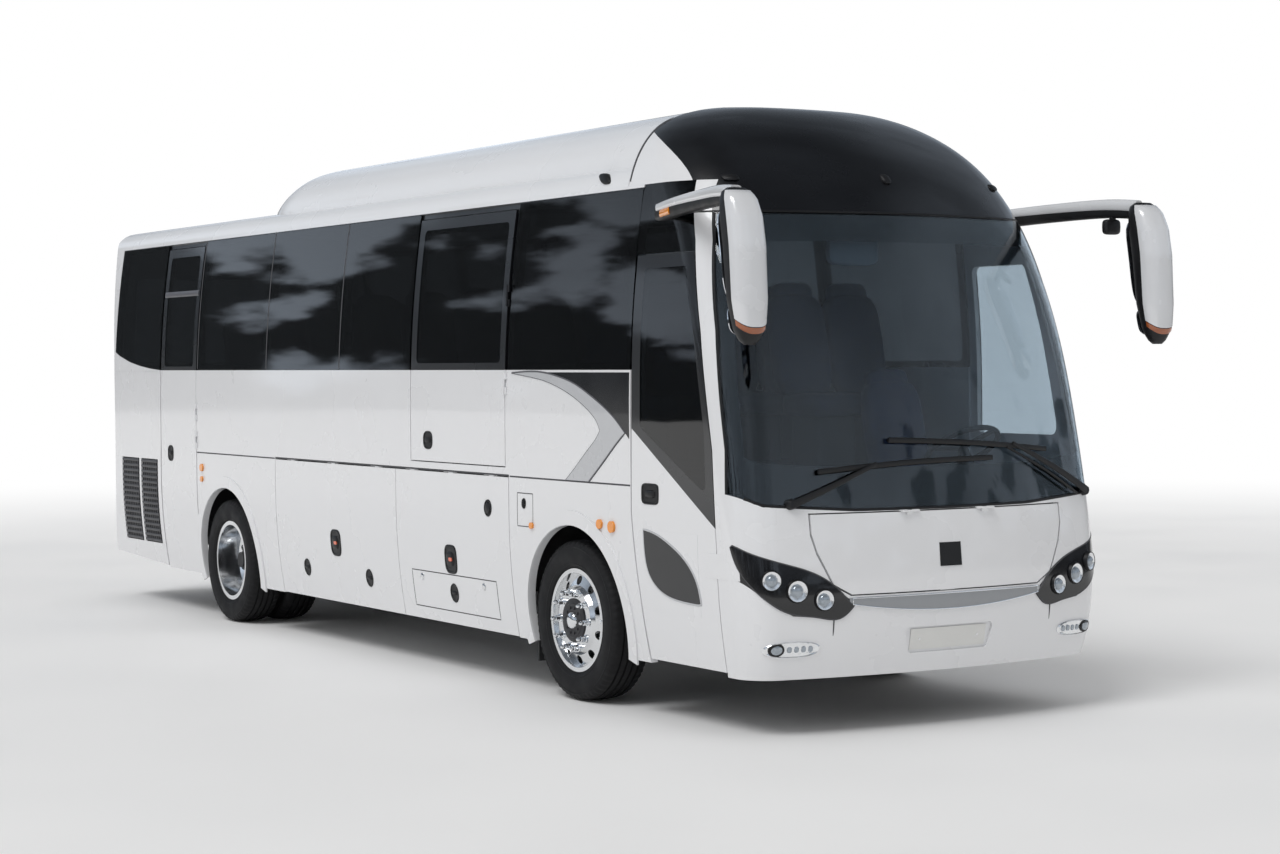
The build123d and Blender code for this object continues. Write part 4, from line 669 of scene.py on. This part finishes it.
collar = ((0, 0.006), (1, 0.006), (1, 0.016), (0.8, 0.017), (0, 0.014))
bead = ((0, 0.012), (1, 0.012), (0.9, 0.019), (0.5, 0.023), (0, 0.024))
diode = ((0, 0.008), (1, 0.008), (0.9, 0.014), (0, 0.016))
brow_edge = curve(((0.655, 0.712), (0.705, 0.768), (0.785, 0.835), (0.88, 0.885), (1.02, 0.93),
                   (1.148, 0.972), (1.2, 0.998), (1.238, 1.03)), 40)
chin_edge = curve(((0.63, 0.7), (0.712, 0.634), (0.85, 0.645), (0.985, 0.665), (1.07, 0.7), (1.13, 0.744),
                   (1.19, 0.815), (1.226, 0.9), (1.242, 1.02)), 40)
for edge in (brow_edge, chin_edge):
    edge[:, 0] = from_x(edge[:, 0], edge[:, 1])
wing = np.linspace(from_x(np.array(1.225), np.array(0.95)), from_s(np.array(WING_S), np.array(0.95)), 12)
wing_low = np.stack([wing, WING_Z + 0 * wing], -1)
wings, cases, bowls, lenses, rings, joints = [], [], [], [], [], []
for side in (1, -1):
    wings += slab(wing_low * (side, 1), wing_low * (side, 1) + (0, WING_TALL), nose, 0.0015)
    cases += slab(chin_edge * (side, 1), brow_edge * (side, 1), nose, 0.004, 0.01, 12)
    for x, z, r in UNITS:
        at, beside = [ahead(side * np.array(x + d), np.array(z), np.array(0.0)) for d in (0, 0.01)]
        tilt = np.cross(beside - at, (0, 0, 1.0)) * side
        out = np.array((tilt[0], tilt[1], 0)) / np.linalg.norm(tilt[:2])
        for grids, profile in ((bowls, bowl_side), (lenses, lens_side), (rings, ring_side)):
            grids.append(turned(np.array(profile) * (1, r), at, out, 40))
    bowls += [button(ahead, (side * FOG_X, FOG_Z), FOG_SIZE, oval, 0.8, 48)]
    rings += [button(ahead, (side * (FOG_X + FOG_LENS), FOG_Z), (0.04, 0.034), collar)]
    lenses += [button(ahead, (side * (FOG_X + FOG_LENS), FOG_Z), (0.03, 0.026), bead)]
    for x in FOG_X + DIODE_FROM + DIODE_STEP * np.arange(DIODES):
        lenses += [button(ahead, (side * x, FOG_Z), (0.014, 0.017), diode, 0.7, 20)]
    joints += [strip(np.vstack([brow_edge, chin_edge[::-1]]) * (side, 1), nose, 0.009, 0.005, True)]
    joints += [strip(line((side * 0.75, 0.33), (side * 0.75, 0.625)), ahead, 0.007, 0.001)]
piece("lamp_wings", wings, "coach", pearl)
piece("lamp_cases", cases, "coach", lamp_black)
piece("lamp_bowls", bowls, "coach", reflector)
piece("lamp_lenses", lenses, "coach", lens)
piece("lamp_rings", rings, "coach", satin_black)
piece("lamp_joints", joints, "coach", seam_grey)

# Front trim, sensor cover and plate. A silver crescent with a darker inset under the flap, a black square
# cover in the middle of the flap and a blank white plate riveted in the bumper's recess.
TRIM_HALF, TRIM_LOW, TRIM_HIGH, TRIM_BOW = 0.66, 0.652, 0.738, 0.12
SENSOR_HALF, SENSOR_Z, SENSOR_TALL = 0.073, 0.885, 0.128
PLATE_HALF, PLATE_Z, PLATE_TALL = 0.26, 0.435, 0.115
RIVET_X, RIVET_Z = (-0.2, 0.2), 0.492
dress(pearl, "front_trim")
inset_grey = finish("inset_grey", (0.33, 0.34, 0.355), 0.35, 0.08, 10, 0.00003, 500, metallic=0.5)
arc = np.linspace(-TRIM_HALF, TRIM_HALF, 41)
low_arc = np.stack([arc, TRIM_LOW + TRIM_BOW * arc**2], -1)
high_arc = np.stack([arc, TRIM_HIGH + 0 * arc], -1)
piece("trim_inset", slab(low_arc, high_arc, ahead, 0.002), "coach", inset_grey)
rim_arc = np.vstack([low_arc, high_arc[::-1]])
piece("trim_rim", [strip(rim_arc * (0.97, 1), ahead, 0.01, 0.006, True)], "coach", chrome)
square = line((-SENSOR_HALF, SENSOR_Z), (SENSOR_HALF, SENSOR_Z), 9)
sensor = slab(square, square + (0, SENSOR_TALL), ahead, 0.004, 0.008)
piece("sensor_cover", sensor, "front_flap", satin_black)
plate_white = finish("plate_white", (0.72, 0.72, 0.7), 0.4, 0.03, 10, 0.00005, 300)
plate_foot = line((-PLATE_HALF, PLATE_Z), (PLATE_HALF, PLATE_Z), 9)
plate = slab(plate_foot, plate_foot + (0, PLATE_TALL), ahead, -0.006, 0.004)
piece("front_plate", plate, "coach", plate_white)
rivet = ((0, -0.008), (1, -0.008), (0.8, -0.004), (0, -0.003))
rivets = [button(ahead, (x, RIVET_Z), (0.008, 0.008), rivet, 1, 12) for x in RIVET_X]
piece("plate_rivets", rivets, "coach", chrome)

# Mirrors. A deep arm reaches forward from the roof corner to a long head that hangs from it: a dark housing
# with the glass at its back, a pale cover clipped on its front over a smoked strip, and an amber repeater in
# the arm. A small kerb mirror hangs under the left arm.
mirror_white = finish("mirror_white", (0.68, 0.69, 0.71), 0.25, 0.04, 4, 0.00002, 900, coat_weight=1.0)
mirror_glass = finish("mirror_glass", (0.75, 0.77, 0.8), 0.03, 0.05, 3, metallic=1.0)
amber = finish("amber_lens", (0.85, 0.28, 0.01), 0.15, 0.15, 20, 0.0004, 300, coat_weight=1.0)
smoked_amber = finish("smoked_amber", (0.3, 0.075, 0.015), 0.2, 0.15, 20, 0.0004, 300, coat_weight=1.0)
dress(amber, "marker_lamps")
HEAD_Z = np.array((2.09, 2.115, 2.17, 2.32, 2.6, 2.75, 2.84, 2.88, 2.9))
HEAD_FRONT = np.array((-2.185, -2.205, -2.226, -2.228, -2.22, -2.195, -2.15, -2.11, -2.08))
HEAD_BACK = np.array((-2.15, -2.125, -2.1, -2.06, -2.02, -1.99, -1.985, -1.995, -2.02))
HEAD_HALF = np.array((0.03, 0.056, 0.082, 0.1, 0.1, 0.098, 0.09, 0.075, 0.05))
HEAD_X = 1.402
COVER = (pi * 1.04, pi * 1.96)
SAG = 0.05
ARM = ((1.14, -0.9, 2.835), (1.2, -1.15, 2.85), (1.29, -1.6, 2.865), (1.36, -1.9, 2.862),
       (1.395, -2.06, 2.845))


def shell(z, from_angle, to_angle, grow, closed, sag=0.0):
    """Grid of the mirror head: at each height a squared ellipse between its front, back and sides, grown. A
    row hangs by its sag at the front."""
    angle = np.linspace(from_angle, to_angle, 41)[: -1 if closed else None]
    z = z[:, None] + np.reshape(sag, (-1, 1)) * np.sin(angle)
    front, back, half = [np.interp(z, HEAD_Z, row) for row in (HEAD_FRONT, HEAD_BACK, HEAD_HALF)]
    ring = fuller(np.stack([np.cos(angle), np.sin(angle)], -1), 0.75)
    x = HEAD_X + (half + grow) * ring[:, 0]
    s = (front + back) / 2 + ((back - front) / 2 + grow) * ring[:, 1]
    return np.stack([x, s + AXLE_Y, z], -1)


def behind(x, z, out):
    """Point of the mirror head's back at x and a height, moved back by out."""
    return np.stack([x, np.interp(z, HEAD_Z, HEAD_BACK) + AXLE_Y + out, z + 0 * x], -1)


pane = ((0, -0.006), (1, -0.006), (1, 0.001), (0.96, 0.003), (0, 0.003))
head = shell(np.linspace(HEAD_Z[0], HEAD_Z[-1], 40), 0, 2 * pi, 0.0, True)
foot_end, top_end = [0 * row + row.mean(1, keepdims=True) for row in (head[:1], head[-1:])]
head = np.concatenate([foot_end, head, top_end])
for end, side in (("left", 1), ("right", -1)):
    mirror = np.array((side, 1, 1))
    arm = (curve(ARM, 40) + (0, AXLE_Y, 0)) * mirror
    dark = [lattice(head * mirror, wrap_v=True)]
    dark += [sweep(arm, np.linspace(0.075, 0.055, 40), np.linspace(0.1, 0.085, 40), 0.6, 24)]
    housing = piece("mirror_housing_" + end, dark, "coach", satin_black, 50)
    if side == 1:
        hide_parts("mirrors")
    rows, hang = np.linspace(2.23, 2.885, 30), np.linspace(SAG, 0, 30)
    cover = walled(*[shell(rows, *COVER, grow, False, hang) * mirror for grow in (0.002, 0.007)])
    band = arm[1:-1] + (0, 0, 0.03)
    cover += [sweep(band, np.linspace(0.085, 0.07, 38), np.linspace(0.056, 0.075, 38), 0.7, 20)]
    piece("mirror_cover_" + end, cover, "coach", mirror_white, 50)
    rows = np.linspace(2.195, 2.226, 5)
    smoked = walled(*[shell(rows, *COVER, grow, False, SAG) * mirror for grow in (0.004, -0.004)])
    piece("mirror_strip_" + end, smoked, "coach", smoked_amber)
    if side == 1:
        spare = [pillow((1.335, -1.86 + AXLE_Y, 2.77), (0.12, 0.05, 0.09), 0.5)]
        spare += [pillow((1.345, -1.86 + AXLE_Y, 2.825), (0.035, 0.03, 0.06), 0.5)]
        piece("kerb_mirror", spare, "coach", satin_black, 50)
    lamp = [sweep((arm + (side * 0.012, 0, -0.01))[3:9], 0.06, 0.05, 0.6, 16)]
    piece("mirror_amber_" + end, lamp, "coach", amber)
    glass_at = [button(behind, (side * HEAD_X, 2.56), (0.082, 0.24), pane, 0.5, 48)]
    glass_at += [button(behind, (side * HEAD_X, 2.215), (0.078, 0.075), pane, 0.6, 48)]
    piece("mirror_glass_" + end, glass_at, "coach", mirror_glass)

# Roof fairing. One long moulding over the air conditioning, rounded at its shoulders and bull nosed at its
# tail, bonded along its foot with a dark sealant line and finished like the roof.
FOOT_Z, BELLY_Z, TAIL_RUN = 3.07, 3.0, 0.78
low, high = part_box("ac_fairing")
run = np.linspace(low.y, high.y, 90)
half = curve(((1.072, FOOT_Z), (1.066, 3.13), (1.036, 3.235), (0.97, 3.325), (0.882, 3.393), (0.74, 3.447),
              (0.56, 3.477), (0.3, 3.489), (0.0, high.z)), 40)
shape = np.vstack([half, half[-2::-1] * (-1, 1)])
tail = np.clip((run - high.y + TAIL_RUN) / TAIL_RUN, 0, 1)
drop = (1 - tail**2.4) ** 0.75
narrow = 1 - 0.16 * tail**3
hood_z = FOOT_Z + (shape[:, 1] - FOOT_Z) * drop[:, None]
hood = np.stack([shape[:, 0] * narrow[:, None], run[:, None] + 0 * shape[:, 0], hood_z], -1)
foot_line = hood[:, [0, -1]] * (1, 1, 0) + (0, 0, BELLY_Z)
shells = [hood, np.stack([hood[0], hood[0] * (1, 1, 0) + (0, 0, BELLY_Z)])]
shells += [np.stack([foot_line[:, 0], hood[:, 0]]), np.stack([hood[:, -1], foot_line[:, 1]])]
shells += [np.stack([foot_line[:, 1], foot_line[:, 0]])]
fairing = piece("roof_fairing", [lattice(grid) for grid in shells], "coach", pearl, 55)
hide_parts("ac_fairing")
foot_seams = [sweep(hood[:-6, k] + (side * 0.001, 0, 0.012), 0.01, 0.008) for k, side in ((0, 1), (-1, -1))]
piece("fairing_seam", foot_seams, "coach", seam_grey)

# Roof fittings. Small dark marker lamps and a sensor on the dome, a camera at the foot of its rear seam, and
# the sealant line where the dome meets the fairing. The lamps are moulded plastic, screwed on from inside.
SEAM_S, MARK_X, MARK_Z, CAMERA_S, CAMERA_Z = -0.56, 0.926, 3.022, -0.271, 3.072
roof_z = np.linspace(3.04, 3.49, 30)
roof_u = from_s(SEAM_S + 0 * roof_z, roof_z)
dome_seams = [strip(np.stack([side * roof_u, roof_z], -1), nose, 0.012, 0.003) for side in (1, -1)]
piece("dome_seam", dome_seams, "coach", seam_grey)
bump = ((0, -0.01), (1, -0.01), (1, 0.004), (0.85, 0.014), (0.5, 0.02), (0, 0.022))
mark_u = from_x(np.array(MARK_X), np.array(MARK_Z))
camera_u = -from_s(np.array(CAMERA_S), np.array(CAMERA_Z))
spots = (((0.0, 3.03), (0.03, 0.03)), ((camera_u, CAMERA_Z), (0.055, 0.036)),
         ((-mark_u, MARK_Z), (0.05, 0.02)), ((mark_u, MARK_Z), (0.05, 0.02)))
sensors = [button(nose, at, size, bump, 0.7) for at, size in spots]
piece("roof_sensors", sensors, "coach", satin_black)

# Grilles and tail. Dark pressed grilles with slats over the radiator sides, and red lamp clusters at the rear
# corners with round moulded units.
grille_grey = finish("grille_grey", (0.07, 0.07, 0.075), 0.5, 0.25, 10, 0.0003, 500)
dress(grille_grey, "side_grilles")
SLAT_RUNS = ((6.845, 7.215), (7.285, 7.675))
UNIT_X, UNIT_Z = (1.09, -1.09), (1.13, 1.32, 1.51)
slat_z = np.linspace(0.545, 1.205, 16)
slats = [strip(line((a, z), (b, z), 8), surface, 0.022, 0.005)
         for surface in (right, left) for z in slat_z for a, b in SLAT_RUNS]
piece("grille_slats", slats, "coach", grille_grey)
dress(finish("tail_red", (0.4, 0.012, 0.012), 0.12, 0.15, 10, 0.0003, 250, coat_weight=1.0), "tail_lamps")
tail_lens = finish("tail_lens", (0.5, 0.02, 0.02), 0.08, 0.2, 40, 0.0008, 260, coat_weight=1.0)
unit_side = ((-0.004, 0), (-0.004, 0.058), (0.006, 0.056), (0.009, 0.05), (0.005, 0.044), (0.008, 0.03),
             (0.01, 0))
tail_units = []
for x, z in [(x, z) for x in UNIT_X for z in UNIT_Z]:
    hit, at, normal, face = nodes["tail_lamps"].ray_cast((x, 9, z), (0, -1, 0))
    if hit:
        tail_units += [turned(unit_side, at, normal, 40)]
piece("tail_units", tail_units, "coach", tail_lens)

# Cab. The mirror for the driver's view of the saloon, backed with grey plastic, hung from the roof's front
# edge behind the windscreen.
mirror_grey = finish("mirror_grey", (0.34, 0.35, 0.37), 0.5, 0.06, 6, 0.0002, 700)
saloon_mirror = pillow((-0.26, -1.5 + AXLE_Y, 2.62), (0.34, 0.06, 0.17), 0.4)
piece("saloon_mirror", [saloon_mirror], "coach", mirror_grey)

# Studio. A pale floor that fades to white and a white surround. Glass and paint show a dark skyline of trees
# under a blue sky with clouds instead, and one wide soft sun stands on the entrance side.
bpy.context.scene.view_settings.view_transform = "Standard"
FADE = (9.0, 26.0)
angles = np.linspace(0, 2 * pi, 97)[:-1]
radii = np.array([0.0, 3.0, 8.0, 20.0, 45.0, 90.0])[:, None]
floor_points = np.stack([radii * np.cos(angles), radii * np.sin(angles), 0 * radii * angles], -1)
points, quads = lattice(floor_points, wrap_v=True)
floor_mesh = bpy.data.meshes.new("studio_floor")
floor_mesh.from_pydata(points.tolist(), [], quads.tolist())
floor = bpy.data.objects.new("studio_floor", floor_mesh)
bpy.context.scene.collection.objects.link(floor)
floor_paint = finish("floor_paint", (0.9, 0.9, 0.9), 0.6, 0.01, 0.5, specular_ior_level=0.1)
tree = floor_paint.node_tree
place = node(tree, "TexCoord").outputs["Object"]
away = node(tree, "VectorMath", {0: place}, operation="LENGTH").outputs["Value"]
fade = node(tree, "MapRange", {"Value": away, "From Min": FADE[0], "From Max": FADE[1]},
            interpolation_type="SMOOTHSTEP").outputs["Result"]
paint, glow = tree.nodes["Principled BSDF"].outputs[0], node(tree, "Emission").outputs[0]
faded = node(tree, "MixShader", {0: fade, 1: paint, 2: glow})
tree.links.new(faded.outputs[0], tree.nodes["Material Output"].inputs["Surface"])
floor_mesh.materials.append(floor_paint)

SKY_LIGHT = 0.54
SKYLINE, RAGGED = (0.5, 0.56), 0.8
TREES, SKY_BLUE = (0.04, 0.045, 0.05, 1), (0.84, 0.96, 1.12, 1)
world = bpy.data.worlds.new("studio")
bpy.context.scene.world = world
world.use_nodes = True
tree = world.node_tree
soft = tree.nodes["Background"]
soft.inputs["Strength"].default_value = SKY_LIGHT
soft.inputs["Color"].default_value = (1, 1, 1, 1)
ray = node(tree, "LightPath").outputs
seen_rays = maths(tree, "MAXIMUM", ray["Is Camera Ray"], ray["Is Transmission Ray"])
all_rays = maths(tree, "MAXIMUM", seen_rays, ray["Is Glossy Ray"])
direction = node(tree, "TexCoord").outputs["Generated"]
upward_share = node(tree, "SeparateXYZ", {0: direction}).outputs["Z"]
leaves = node(tree, "TexNoise", {"Vector": direction, "Scale": 14, "Detail": 8}).outputs["Fac"]
tree_line = maths(tree, "MULTIPLY_ADD", leaves, RAGGED, upward_share)
open_sky = node(tree, "MapRange", {"Value": tree_line, "From Min": SKYLINE[0], "From Max": SKYLINE[1]},
                interpolation_type="SMOOTHSTEP").outputs["Result"]
air = node(tree, "MapRange", {"Value": upward_share, "From Min": 0.05, "From Max": 0.8,
                              "To Min": 1.1, "To Max": 0.12}).outputs["Result"]
clouds = node(tree, "TexNoise", {"Vector": direction, "Scale": 2.6, "Detail": 6}).outputs["Fac"]
banks = node(tree, "MapRange", {"Value": clouds, "From Min": 0.38, "From Max": 0.62, "To Min": 0.35})
weather = maths(tree, "MULTIPLY", air, banks.outputs["Result"])
sky = node(tree, "Mix", {0: 1, 6: weather, 7: SKY_BLUE}, data_type="RGBA", blend_type="MULTIPLY").outputs[2]
view = node(tree, "Mix", {0: open_sky, 6: TREES, 7: sky}, data_type="RGBA").outputs[2]
mirrored = node(tree, "Math", {0: ray["Is Glossy Ray"], 1: ray["Is Transmission Ray"]}, operation="SUBTRACT",
                use_clamp=True).outputs[0]
shown = node(tree, "Mix", {0: mirrored, 6: (1, 1, 1, 1), 7: view}, data_type="RGBA").outputs[2]
seen = node(tree, "Background", {"Color": shown}).outputs[0]
both = node(tree, "MixShader", {0: all_rays, 1: soft.outputs[0], 2: seen})
tree.links.new(both.outputs[0], tree.nodes["World Output"].inputs["Surface"])

SUN_FROM = (-0.55, -0.18, 0.81)
sun_data = bpy.data.lights.new("soft_sun", "SUN")
sun_data.energy = 1.25
sun_data.angle = radians(28)
sun = bpy.data.objects.new("soft_sun", sun_data)
bpy.context.scene.collection.objects.link(sun)
sun.rotation_euler = Vector(SUN_FROM).to_track_quat("Z", "Y").to_euler()

# Camera. It stands at eye height off the front right corner, turned and tilted as the picture was taken.
EYE = Vector((-8.4086, -15.5224, 2.009))
TURN, TILT, ROLL = radians(-31.407), radians(1.531), radians(-0.370)
FOCAL_PX = 2449.51
PICTURE_W = 1280
ahead_dir = Vector((-sin(TURN) * cos(TILT), cos(TURN) * cos(TILT), -sin(TILT)))
level = Vector((cos(TURN), sin(TURN), 0))
above = level.cross(ahead_dir)
across = cos(ROLL) * level + sin(ROLL) * above
upward = -sin(ROLL) * level + cos(ROLL) * above
camera_data = bpy.data.cameras.new("camera")
camera_data.sensor_width = 36
camera_data.sensor_fit = "HORIZONTAL"
camera_data.lens = FOCAL_PX / PICTURE_W * camera_data.sensor_width
camera = bpy.data.objects.new("camera", camera_data)
bpy.context.scene.collection.objects.link(camera)
camera.matrix_world = Matrix((across, upward, -ahead_dir)).transposed().to_4x4()
camera.location = EYE
bpy.context.scene.camera = camera
